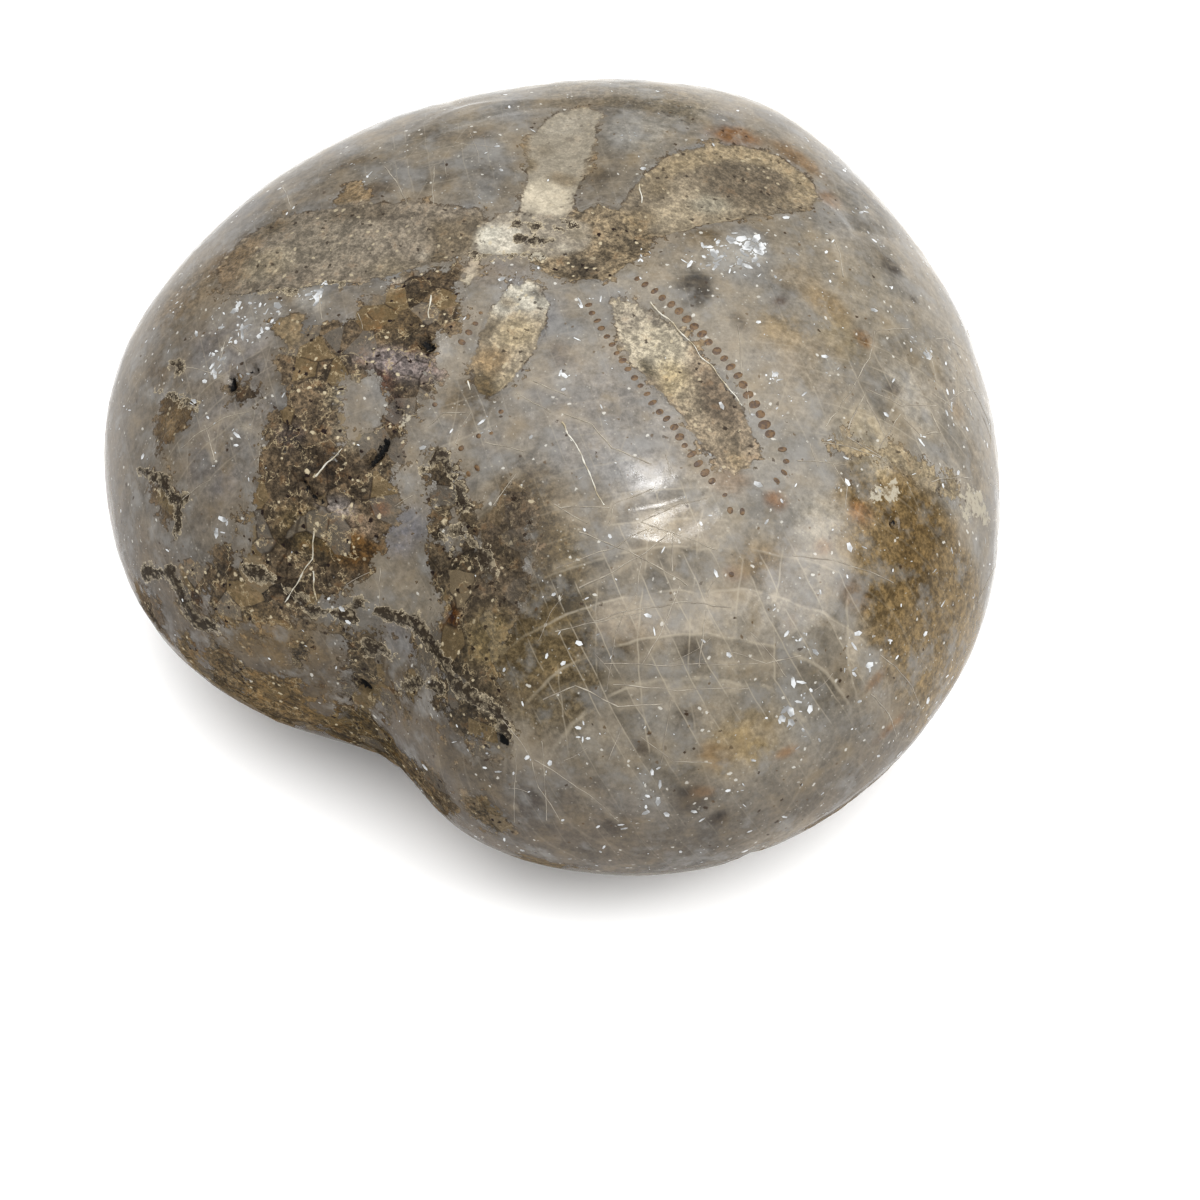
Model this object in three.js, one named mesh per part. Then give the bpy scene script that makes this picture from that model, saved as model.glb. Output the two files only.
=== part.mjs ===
// A fossil heart urchin, polished as a palm stone: one solid body.
// Seen from above it is a heart. The front, with the notch, faces -Y, the blunt rear end faces +Y, and
// the five petals meet at the apex on the crown. It rests on a small flat worn under its mouth side.
// Millimetres, +Z up, origin in the middle of the footprint at the resting face.
import * as THREE from "three";
import { mergeVertices } from "three/addons/utils/BufferGeometryUtils.js";

// Driving dimensions
const crownHeight = 34.8; // highest level of the body above its unworn underside
const rimHeight = 14.2; // level where the body is widest
const restingWear = 0.4; // how much of the underside is worn away to the flat it rests on
const apex = [-1.3, 1.5]; // where the five petals meet, in plan
const crownLean = [-0.7, 1]; // how far the crown leans from the middle of the rim

// The rim seen from above, from the notch round the right lobe to the rear and back by the left lobe
const rimOutline = [
  [-2.7, -28.3],
  [3.9, -32.1],
  [12.3, -32.3],
  [22.8, -27.8],
  [30.3, -18],
  [33.3, -4.7],
  [30.8, 7.7],
  [24.3, 18.9],
  [14.6, 27.1],
  [4.8, 31.8],
  [-6.7, 30],
  [-17.6, 24],
  [-26.9, 14.9],
  [-32.4, 3.6],
  [-33.7, -9.7],
  [-29.6, -19],
  [-22, -26.3],
  [-12.7, -28.7],
  [-6.7, -28.2],
];

// How square the body's upright section is: 1 is an ellipse, less is flatter on top and fuller at the rim
const upperSection = { reach: 0.78, rise: 0.9 };
const lowerSection = { reach: 0.62, rise: 0.9 };

// The front groove that climbs from the notch towards the apex, in plan
const groovePath = [
  [-2.4, -30],
  [-0.4, -24.5],
  [1, -20],
  [0.8, -15],
  [-0.6, -8],
];
const grooveDepth = 1.7;
const grooveHalfWidth = 3.4;
const grooveFadeEnd = 0.85; // share of the groove's length where it has run out

// The petals: shallow beds pressed into the crown, each from the apex to its tip
const petals = [
  { tip: [-1.9, -12], halfWidth: 2.2 },
  { tip: [17.6, -9], halfWidth: 2.9 },
  { tip: [12.6, 18], halfWidth: 3.4 },
  { tip: [-6.6, 16.8], halfWidth: 2.5 },
  { tip: [-23.9, -7.3], halfWidth: 3.2 },
];
const petalDepth = 0.35;

// The mouth on the underside and the vent on the rear end
const mouth = { place: [-1, -16], radius: 4.5, depth: 1.1 };
const vent = { place: [1.5, 31, 15], radius: 3, depth: 0.5 };

const facetsPerSide = 26; // the body starts as a cube with this many facets along each edge

// The rim's radius at every angle, read off a smooth closed curve
const rimSamples = 1440;
const rimCurve = new THREE.CatmullRomCurve3(
  rimOutline.map(([x, y]) => new THREE.Vector3(x, y, 0)),
  true,
);
const rimByAngle = rimCurve
  .getPoints(rimSamples)
  .slice(0, -1)
  .map((p) => ({ angle: Math.atan2(p.y, p.x), radius: Math.hypot(p.x, p.y) }))
  .sort((a, b) => a.angle - b.angle);

function rimRadius(angle) {
  const next = rimByAngle.findIndex((s) => s.angle > angle);
  const b = rimByAngle[next < 0 ? 0 : next];
  const a = rimByAngle[(next < 0 ? rimByAngle.length : next || rimByAngle.length) - 1];
  const span = THREE.MathUtils.euclideanModulo(b.angle - a.angle, 2 * Math.PI);
  const along = THREE.MathUtils.euclideanModulo(angle - a.angle, 2 * Math.PI);
  return THREE.MathUtils.lerp(a.radius, b.radius, span > 0 ? along / span : 0);
}

// Distance in plan from a point to the line between two others, and the share of that line it is at
function alongLine(x, y, [ax, ay], [bx, by]) {
  const length2 = (bx - ax) ** 2 + (by - ay) ** 2;
  const share = THREE.MathUtils.clamp(((x - ax) * (bx - ax) + (y - ay) * (by - ay)) / length2, 0, 1);
  return { share, distance: Math.hypot(x - ax - share * (bx - ax), y - ay - share * (by - ay)) };
}

function grooveAt(x, y) {
  const spans = groovePath.length - 1;
  let nearest = { distance: Infinity, share: 0 };
  for (let i = 0; i < spans; i++) {
    const found = alongLine(x, y, groovePath[i], groovePath[i + 1]);
    if (found.distance < nearest.distance)
      nearest = { distance: found.distance, share: (i + found.share) / spans };
  }
  const fade = 1 - THREE.MathUtils.smoothstep(nearest.share, 0.2, grooveFadeEnd);
  return grooveDepth * fade * Math.exp(-((nearest.distance / grooveHalfWidth) ** 2));
}

// A petal is narrow at the apex, full at two thirds and closed at its tip
function petalsAt(x, y) {
  let depth = 0;
  for (const { tip, halfWidth } of petals) {
    const { share, distance } = alongLine(x, y, apex, tip);
    const width = halfWidth * Math.sin(Math.PI * (0.12 + 0.82 * share));
    depth = Math.max(depth, petalDepth * (1 - THREE.MathUtils.smoothstep(distance, 0.5 * width, width)));
  }
  return depth;
}

// A point of the body's smooth form, for a direction from its middle
function formPoint(direction) {
  const angle = Math.atan2(direction.y, direction.x);
  const up = direction.z / direction.length();
  const upper = up > 0;
  const { reach, rise } = upper ? upperSection : lowerSection;
  const level = Math.abs(up) ** rise;
  const radius = rimRadius(angle) * Math.sqrt(Math.max(0, 1 - up * up)) ** reach;
  const lean = upper ? level ** 1.5 : 0;
  return new THREE.Vector3(
    radius * Math.cos(angle) + crownLean[0] * lean,
    radius * Math.sin(angle) + crownLean[1] * lean,
    upper ? rimHeight + (crownHeight - rimHeight) * level : rimHeight * (1 - level),
  );
}

// The groove, petals and mouth are pressed straight down or up, the vent straight in from the rear
function pressed(point, up) {
  const above = THREE.MathUtils.smoothstep(up, 0, 0.4);
  point.z -= above * Math.max(grooveAt(point.x, point.y), petalsAt(point.x, point.y));
  const toMouth = Math.hypot(point.x - mouth.place[0], point.y - mouth.place[1]);
  if (up < 0) point.z += mouth.depth * Math.exp(-((toMouth / mouth.radius) ** 2));
  const toVent = point.distanceTo(new THREE.Vector3(...vent.place));
  point.y -= vent.depth * Math.exp(-((toVent / vent.radius) ** 2));
  return point;
}

// A cube's grid, evened out on the sphere, is carried onto the form, so the body has no poles
function bodyGeometry() {
  const box = new THREE.BoxGeometry(2, 2, 2, facetsPerSide, facetsPerSide, facetsPerSide);
  box.deleteAttribute("normal");
  box.deleteAttribute("uv");
  const geometry = mergeVertices(box, 1e-4);
  const position = geometry.getAttribute("position");
  const even = (t) => Math.tan((t * Math.PI) / 4);
  for (let i = 0; i < position.count; i++) {
    const direction = new THREE.Vector3().fromBufferAttribute(position, i);
    direction.set(even(direction.x), even(direction.y), even(direction.z));
    const point = pressed(formPoint(direction), direction.z / direction.length());
    position.setXYZ(i, point.x, point.y, Math.max(point.z, restingWear) - restingWear);
  }
  geometry.computeBoundingBox();
  const middle = geometry.boundingBox.getCenter(new THREE.Vector3());
  geometry.translate(-middle.x, -middle.y, 0);
  geometry.computeVertexNormals();
  return geometry;
}

const stone = new THREE.MeshStandardMaterial({ color: "#948c80", roughness: 0.35, metalness: 0 });
const body = new THREE.Mesh(bodyGeometry(), stone);
body.name = "urchin_test";

const fossil = new THREE.Group();
fossil.name = "fossil_sea_urchin";
fossil.add(body);

export default fossil;
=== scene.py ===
import math

import bmesh
import bpy
import numpy as np
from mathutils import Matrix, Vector, kdtree, noise
from mathutils.bvhtree import BVHTree


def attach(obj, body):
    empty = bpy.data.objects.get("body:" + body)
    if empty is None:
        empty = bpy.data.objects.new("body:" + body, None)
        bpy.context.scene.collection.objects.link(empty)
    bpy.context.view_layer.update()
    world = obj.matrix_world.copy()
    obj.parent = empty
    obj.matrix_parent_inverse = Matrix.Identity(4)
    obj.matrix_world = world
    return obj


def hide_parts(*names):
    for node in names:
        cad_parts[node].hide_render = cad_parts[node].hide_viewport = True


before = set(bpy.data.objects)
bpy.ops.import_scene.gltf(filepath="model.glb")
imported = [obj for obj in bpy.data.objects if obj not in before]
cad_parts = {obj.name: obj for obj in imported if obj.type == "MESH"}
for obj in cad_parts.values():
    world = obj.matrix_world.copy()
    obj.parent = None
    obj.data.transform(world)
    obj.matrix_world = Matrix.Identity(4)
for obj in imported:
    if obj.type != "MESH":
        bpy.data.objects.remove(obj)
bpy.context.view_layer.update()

# A polished heart urchin fossil. Every place and size below is in millimetres, seen from above with the
# notch towards -Y, and each is carried down onto the stone. The meshes themselves are in metres.
mm = 0.001
farOff = 1e9  # mm: further than anything on the stone
outside = -20.0  # mm: well outside every outline
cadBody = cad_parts["urchin_test"]


def linear(code):  # an sRGB hex colour as Blender's linear one
    parts = [int(code[i:i + 2], 16) / 255 for i in (1, 3, 5)]
    return np.array([p / 12.92 if p <= 0.04045 else ((p + 0.055) / 1.055) ** 2.4 for p in parts])


def eased(value, start, end):  # 0 at start, 1 at end, smooth between
    share = np.clip((value - start) / (end - start), 0, 1)
    return share * share * (3 - 2 * share)


def addNode(tree, kind, inputs=(), out=0, **settings):  # adds a node, sets and links it, gives back an output
    made = tree.nodes.new(kind)
    for name, value in settings.items():
        setattr(made, name, value)
    for key, value in dict(inputs).items():
        if isinstance(value, bpy.types.NodeSocket):
            tree.links.new(value, made.inputs[key])
        else:
            made.inputs[key].default_value = value
    return made.outputs[out] if made.outputs else made


# The form: an even grid thrown from the middle of the stone onto the CAD body, then smoothed
formSettings = {
    "middle": (0.0, 0.0, 16.0),
    "gridSide": 127,  # quads along each edge of the cube that the grid starts as
    "tiltFrom": (0, 45, 115, 135, 180),  # degrees from straight up on that cube
    "tiltTo": (0, 50, 97, 125, 180),  # and on the stone, so that more of the grid is on the crown
    "smoothing": 90,
}


def cubeGrid(side):
    steps = np.arange(side + 1) * 2 - side
    across, along = np.meshgrid(steps, steps, indexing="ij")
    first = np.arange(side * (side + 1)).reshape(side, side + 1)[:, :-1]
    quad = np.stack([first, first + side + 1, first + side + 2, first + 1], -1).reshape(-1, 4)
    points, quads = [], []
    for axis in range(3):
        for face in (-1, 1):
            sheet = np.empty((side + 1, side + 1, 3), int)
            sheet[..., axis] = face * side
            sheet[..., (axis + 1) % 3] = across
            sheet[..., (axis + 2) % 3] = along
            quads.append((quad if face > 0 else quad[:, ::-1]) + len(points) * (side + 1) ** 2)
            points.append(sheet.reshape(-1, 3))
    lattice, index = np.unique(np.concatenate(points), axis=0, return_inverse=True)
    return lattice / side, index.reshape(-1)[np.concatenate(quads)]


def throwDirections(lattice):
    directions = np.tan(lattice * math.pi / 4)
    directions /= np.linalg.norm(directions, axis=1)[:, None]
    tilt = np.degrees(np.arccos(np.clip(directions[:, 2], -1, 1)))
    turned = np.radians(np.interp(tilt, formSettings["tiltFrom"], formSettings["tiltTo"]))
    flat = np.maximum(np.linalg.norm(directions[:, :2], axis=1), 1e-9)
    directions[:, :2] *= (np.sin(turned) / flat)[:, None]
    directions[:, 2] = np.cos(turned)
    return directions


def averaged(values, edges, rounds):  # each point takes on part of its neighbours' mean, again and again
    count = np.bincount(edges.reshape(-1), minlength=len(values))
    for _ in range(rounds):
        near = np.bincount(edges[:, 0], values[edges[:, 1]], len(values))
        near += np.bincount(edges[:, 1], values[edges[:, 0]], len(values))
        values = 0.5 * values + 0.5 * near / count
    return values


def normalsOf(points, quads):
    diagonalA = points[quads[:, 2]] - points[quads[:, 0]]
    diagonalB = points[quads[:, 3]] - points[quads[:, 1]]
    facing = np.cross(diagonalA, diagonalB)
    total = np.zeros_like(points)
    for corner in range(4):
        for axis in range(3):
            total[:, axis] += np.bincount(quads[:, corner], facing[:, axis], len(points))
    return total / np.linalg.norm(total, axis=1)[:, None]


def smoothForm():
    source = bmesh.new()
    source.from_mesh(cadBody.data)
    bmesh.ops.remove_doubles(source, verts=source.verts, dist=1e-6)
    cadTree = BVHTree.FromBMesh(source)
    source.free()
    lattice, quads = cubeGrid(formSettings["gridSide"])
    directions = throwDirections(lattice)
    middle = Vector(formSettings["middle"]) * mm
    reach = np.array([cadTree.ray_cast(middle, Vector(d))[3] for d in directions]) / mm
    edges = np.sort(np.concatenate([quads[:, (0, 1)], quads[:, (1, 2)], quads[:, (2, 3)], quads[:, (3, 0)]]))
    edges = np.unique(edges, axis=0)
    reach = averaged(reach, edges, formSettings["smoothing"])
    points = np.array(formSettings["middle"]) + directions * reach[:, None]
    points[:, 2] = np.maximum(points[:, 2], 0)
    return points, quads, edges


points, quads, edges = smoothForm()
normals = normalsOf(points, quads)
stoneTree = BVHTree.FromPolygons([Vector(p) for p in points], quads.tolist())
print(f"form: {len(points)} points, {len(quads)} quads")


def onStone(x, y):  # the spot on the crown straight below a place seen from above, or the rim beside it
    below = stoneTree.ray_cast(Vector((x, y, 60)), Vector((0, 0, -1)))[0]
    return below or stoneTree.find_nearest(Vector((x, y, 12)))[0]


def rippled(size, seed, octaves=3):  # soft noise, about -1 to 1, with swells this many mm wide
    shift = Vector((seed * 7.3, seed * 3.1, seed * 5.7))
    return np.array([noise.fractal(Vector(p) / size + shift, 1.0, 2.0, octaves) for p in points])


swell = {size: rippled(size, seed) for seed, size in enumerate((12, 5, 2.2, 1.1), 1)}
crown = eased(points[:, 2], 9, 13.5)  # 1 on the upper side, 0 underneath
plan = points[:, :2] + np.stack([0.3 * swell[2.2], 0.3 * swell[1.1]], 1)  # makes every edge a little uneven


def insideOf(outline, wobble=1.0):  # mm inside a closed outline seen from above, less than 0 outside it
    at = points[:, :2] + wobble * (plan - points[:, :2])
    corners = np.array(outline, float)
    inside = np.zeros(len(at), bool)
    nearest = np.full(len(at), farOff)
    for a, b in zip(corners, np.roll(corners, -1, 0)):
        side = b - a
        share = np.clip((at - a) @ side / (side @ side), 0, 1)
        nearest = np.minimum(nearest, np.linalg.norm(at - a - share[:, None] * side, axis=1))
        crosses = (a[1] > at[:, 1]) != (b[1] > at[:, 1])
        rise = side[1] if side[1] else 1e-9
        inside ^= crosses & (at[:, 0] < side[0] * (at[:, 1] - a[1]) / rise + a[0])
    return np.where(inside, nearest, -nearest) + outside * (1 - crown)


def rounded(outline, rounds=2):  # cuts the corners of an outline
    corners = np.array(outline, float)
    for _ in range(rounds):
        after = np.roll(corners, -1, 0)
        corners = np.stack([0.75 * corners + 0.25 * after, 0.25 * corners + 0.75 * after], 1).reshape(-1, 2)
    return corners


def blob(x, y, radius, stretch=1.0, turn=0.0):  # 1 in the middle of a soft patch, 0 outside it
    away = points - np.array(onStone(x, y)) + 0.25 * radius * swell[2.2][:, None]
    c, s = math.cos(math.radians(turn)), math.sin(math.radians(turn))
    long = (away[:, 0] * c + away[:, 1] * s) / stretch
    wide = np.hypot(away[:, 1] * c - away[:, 0] * s, away[:, 2])
    return 1 - eased(np.hypot(long, wide), 0.35 * radius, 1.25 * radius)


# The petals: five beds of granular calcite and silt that meet at the apex
petalSettings = {
    "relief": 0.16,
    "patches": [  # x, y, radius, stretch, turn, colour, strength
        (-2.4, -11.2, 1.2, 1.5, 0, "#6b5d47", 0.7), (-1.6, -5.6, 1.5, 1.3, 80, "#bbae94", 0.7),
        (-2.4, -8.6, 1.5, 1.2, 70, "#9e8a6c", 0.8), (-2.2, -11.0, 1.7, 1.3, 0, "#74674f", 0.9),
        (-3.4, -6.4, 0.5, 3.0, 80, "#786e5e", 0.8), (-0.6, -9.6, 0.8, 1.5, 70, "#b3a893", 0.7),
        (-3.1, -3.6, 0.6, 1.3, 0, "#9b8d76", 0.6), (-1.4, -1.9, 0.6, 1.6, 20, "#5d564f", 0.7),
        (5.2, -1.6, 1.1, 1.4, -30, "#a19a90", 0.7), (8.2, -2.9, 1.6, 1.5, -30, "#cac3b3", 0.9),
        (10.0, -4.9, 1.3, 1.5, -45, "#c4b79a", 0.85), (11.8, -5.9, 1.3, 1.6, -45, "#b5ab99", 0.8),
        (13.4, -5.2, 1.6, 1.9, -38, "#796e61", 0.85), (15.2, -7.4, 1.4, 1.3, -40, "#867c6d", 0.7),
        (13.4, -7.9, 1.0, 2.0, -35, "#a09686", 0.6), (16.2, -8.8, 0.9, 1.2, 0, "#9b8e78", 0.7),
        (8.0, -4.9, 0.5, 2.4, -30, "#6d6656", 0.85), (6.6, -0.6, 0.5, 3.0, -25, "#837c75", 0.7),
        (7.4, 14.4, 2.6, 1.4, 40, "#7c7366", 0.8), (9.6, 15.8, 1.8, 1.3, 20, "#877d6f", 0.6),
        (4.6, 9.2, 1.4, 1.3, 50, "#b3a997", 0.8), (6.2, 11.2, 1.2, 1.4, 30, "#aaa69a", 0.8),
        (2.6, 10.6, 0.9, 1.3, 80, "#837967", 0.7), (2.4, 7.4, 1.2, 1.3, 40, "#897d68", 0.7),
        (-7.2, 9.0, 0.8, 1.5, 80, "#827866", 0.85), (-4.2, 8.8, 0.9, 1.6, 10, "#918674", 0.75),
        (-4.6, 6.2, 1.2, 1.6, 10, "#d1cabc", 0.9), (-6.6, 14.6, 1.4, 1.4, 80, "#b7b2a8", 0.7),
        (-6.8, 11.2, 0.9, 1.2, 60, "#938b7e", 0.6), (-5.6, 13.2, 0.4, 1.2, 0, "#7b746b", 0.6),
        (-9.6, 0.6, 1.8, 1.5, 0, "#807562", 0.75), (-13.0, -0.4, 1.6, 1.6, 10, "#989085", 0.6),
        (-12.2, -3.2, 1.4, 1.5, 20, "#a09786", 0.6), (-17.6, -1.8, 3.2, 1.8, 12, "#999287", 0.7),
        (-16.6, 1.2, 1.2, 3.0, 10, "#7a7164", 0.7), (-21.4, -4.4, 1.8, 1.4, 20, "#a0998a", 0.7),
        (-22.8, -0.9, 1.0, 1.8, 30, "#706656", 0.7), (-24.2, -3.4, 1.1, 1.5, 60, "#8b7c67", 0.8),
        (-10.6, -1.6, 0.5, 1.2, 0, "#b7b0a5", 0.8), (-8.6, 2.4, 0.9, 1.5, 10, "#766c5b", 0.6),
        (-9.4, -1.4, 0.8, 1.2, 0, "#6a604e", 0.7), (-1.6, 2.7, 0.4, 1.4, 0, "#cdc7bb", 0.8),
        (-1.2, 4.3, 0.8, 1.4, 0, "#a59c8c", 0.7), (0.6, 1.2, 1.2, 1.3, 0, "#595146", 0.8),
        (1.8, 3.6, 1.0, 1.4, 40, "#817664", 0.7), (-7.0, 1.6, 0.8, 1.5, 60, "#d8d6cd", 0.8),
    ],
    "front": {
        "outline": [
            (-2.9, -1.4), (-3.9, -2.4), (-4.0, -5), (-3.6, -8), (-2.9, -10.6), (-1.5, -11.5), (-0.3, -10.4),
            (0.2, -7.6), (0.1, -4), (-0.5, -1.8),
        ],
        "colour": "#ada495", "grain": 0.75, "end": (-2.4, -2.4), "endColour": "#cfccc3", "endReach": 3.0,
    },
    "frontRight": {
        "outline": [
            (3.0, -0.3), (6.2, -0.1), (8.6, -1.0), (10.6, -2.2), (12.7, -3.3), (15.0, -4.9), (16.7, -6.3),
            (17.6, -8.0), (16.6, -9.9), (14.8, -9.6), (12.4, -8.1), (10.3, -6.8), (8.0, -5.7), (6.2, -4.4),
            (5.0, -3.0), (3.7, -1.3),
        ],
        "colour": "#aa9e8e", "grain": 0.85, "end": (6.6, -2.3), "endColour": "#bfb8aa", "endReach": 4.6,
    },
    "rearRight": {
        "outline": [
            (0.5, 6.6), (0.8, 10.0), (1.2, 12.8), (2.6, 15.6), (4.4, 17.6), (6.6, 19.0), (8.8, 19.6),
            (11.2, 18.9), (12.5, 17.4), (12.3, 15.4), (10.9, 12.9), (9.0, 11.2), (7.6, 9.8), (6.0, 8.1),
            (4.6, 6.5), (3.0, 5.0),
        ],
        "colour": "#8c8375", "grain": 0.7, "end": (5.4, 9.4), "endColour": "#ada392", "endReach": 4.2,
    },
    "rearLeft": {
        "outline": [
            (-5.9, 3.8), (-6.3, 6.8), (-7.2, 9.2), (-8.1, 11.8), (-8.2, 14.0), (-7.8, 16.2), (-6.0, 17.4),
            (-4.8, 17.3), (-4.3, 15.2), (-3.7, 12.8), (-3.3, 10.2), (-2.8, 7.8), (-2.2, 5.2), (-2.4, 4.2),
        ],
        "colour": "#aaa499", "grain": 0.35, "end": (-4.4, 6.2), "endColour": "#cbc4b6", "endReach": 2.2,
    },
    "left": {
        "outline": [
            (-7.6, 3.6), (-10.5, 3.2), (-13.6, 2.7), (-17.0, 2.0), (-20.2, 0.9), (-22.6, 0.0), (-24.8, -1.8),
            (-25.8, -4.2), (-24.9, -6.9), (-22.2, -7.8), (-20, -7.2), (-17, -6.3), (-14.4, -5.4),
            (-12.0, -4.2), (-9.8, -2.2), (-7.4, -0.6),
        ],
        "colour": "#948c81", "grain": 0.75, "end": (-23.4, -5.0), "endColour": "#908270", "endReach": 3.2,
    },
    "apexBed": {
        "outline": [
            (-3.4, 0.8), (-1.6, -0.2), (0.6, 0.2), (2.4, 1.0), (3.4, 3.0), (4.6, 5.6), (2.4, 7.0),
            (0.2, 7.6), (-2.0, 6.4), (-2.4, 4.0),
        ],
        "colour": "#9a8e7b", "grain": 1.1, "end": (2.6, 5.6), "endColour": "#8b806e", "endReach": 2.2,
    },
    "apexPlate": {
        "outline": [
            (-7.8, 2.0), (-7.0, -0.4), (-5.6, -0.1), (-4.0, 0.8), (-2.6, 1.4), (-1.0, 2.4), (0.2, 3.8),
            (-1.0, 5.2), (-3.0, 5.0), (-5.2, 4.7), (-7.0, 3.6),
        ],
        "colour": "#a69f94", "grain": 0.6, "end": (-6.4, 1.2), "endColour": "#cecac1", "endReach": 2.2,
    },
    "creamStrip": {
        "outline": [(-7.3, -0.4), (-6.4, -0.9), (-5.9, -3.3), (-6.4, -3.7), (-7.0, -1.6)],
        "colour": "#b4ab9e", "grain": 0.5, "end": (-6.3, -3.0), "endColour": "#c3bcae", "endReach": 1.5,
    },
}

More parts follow.
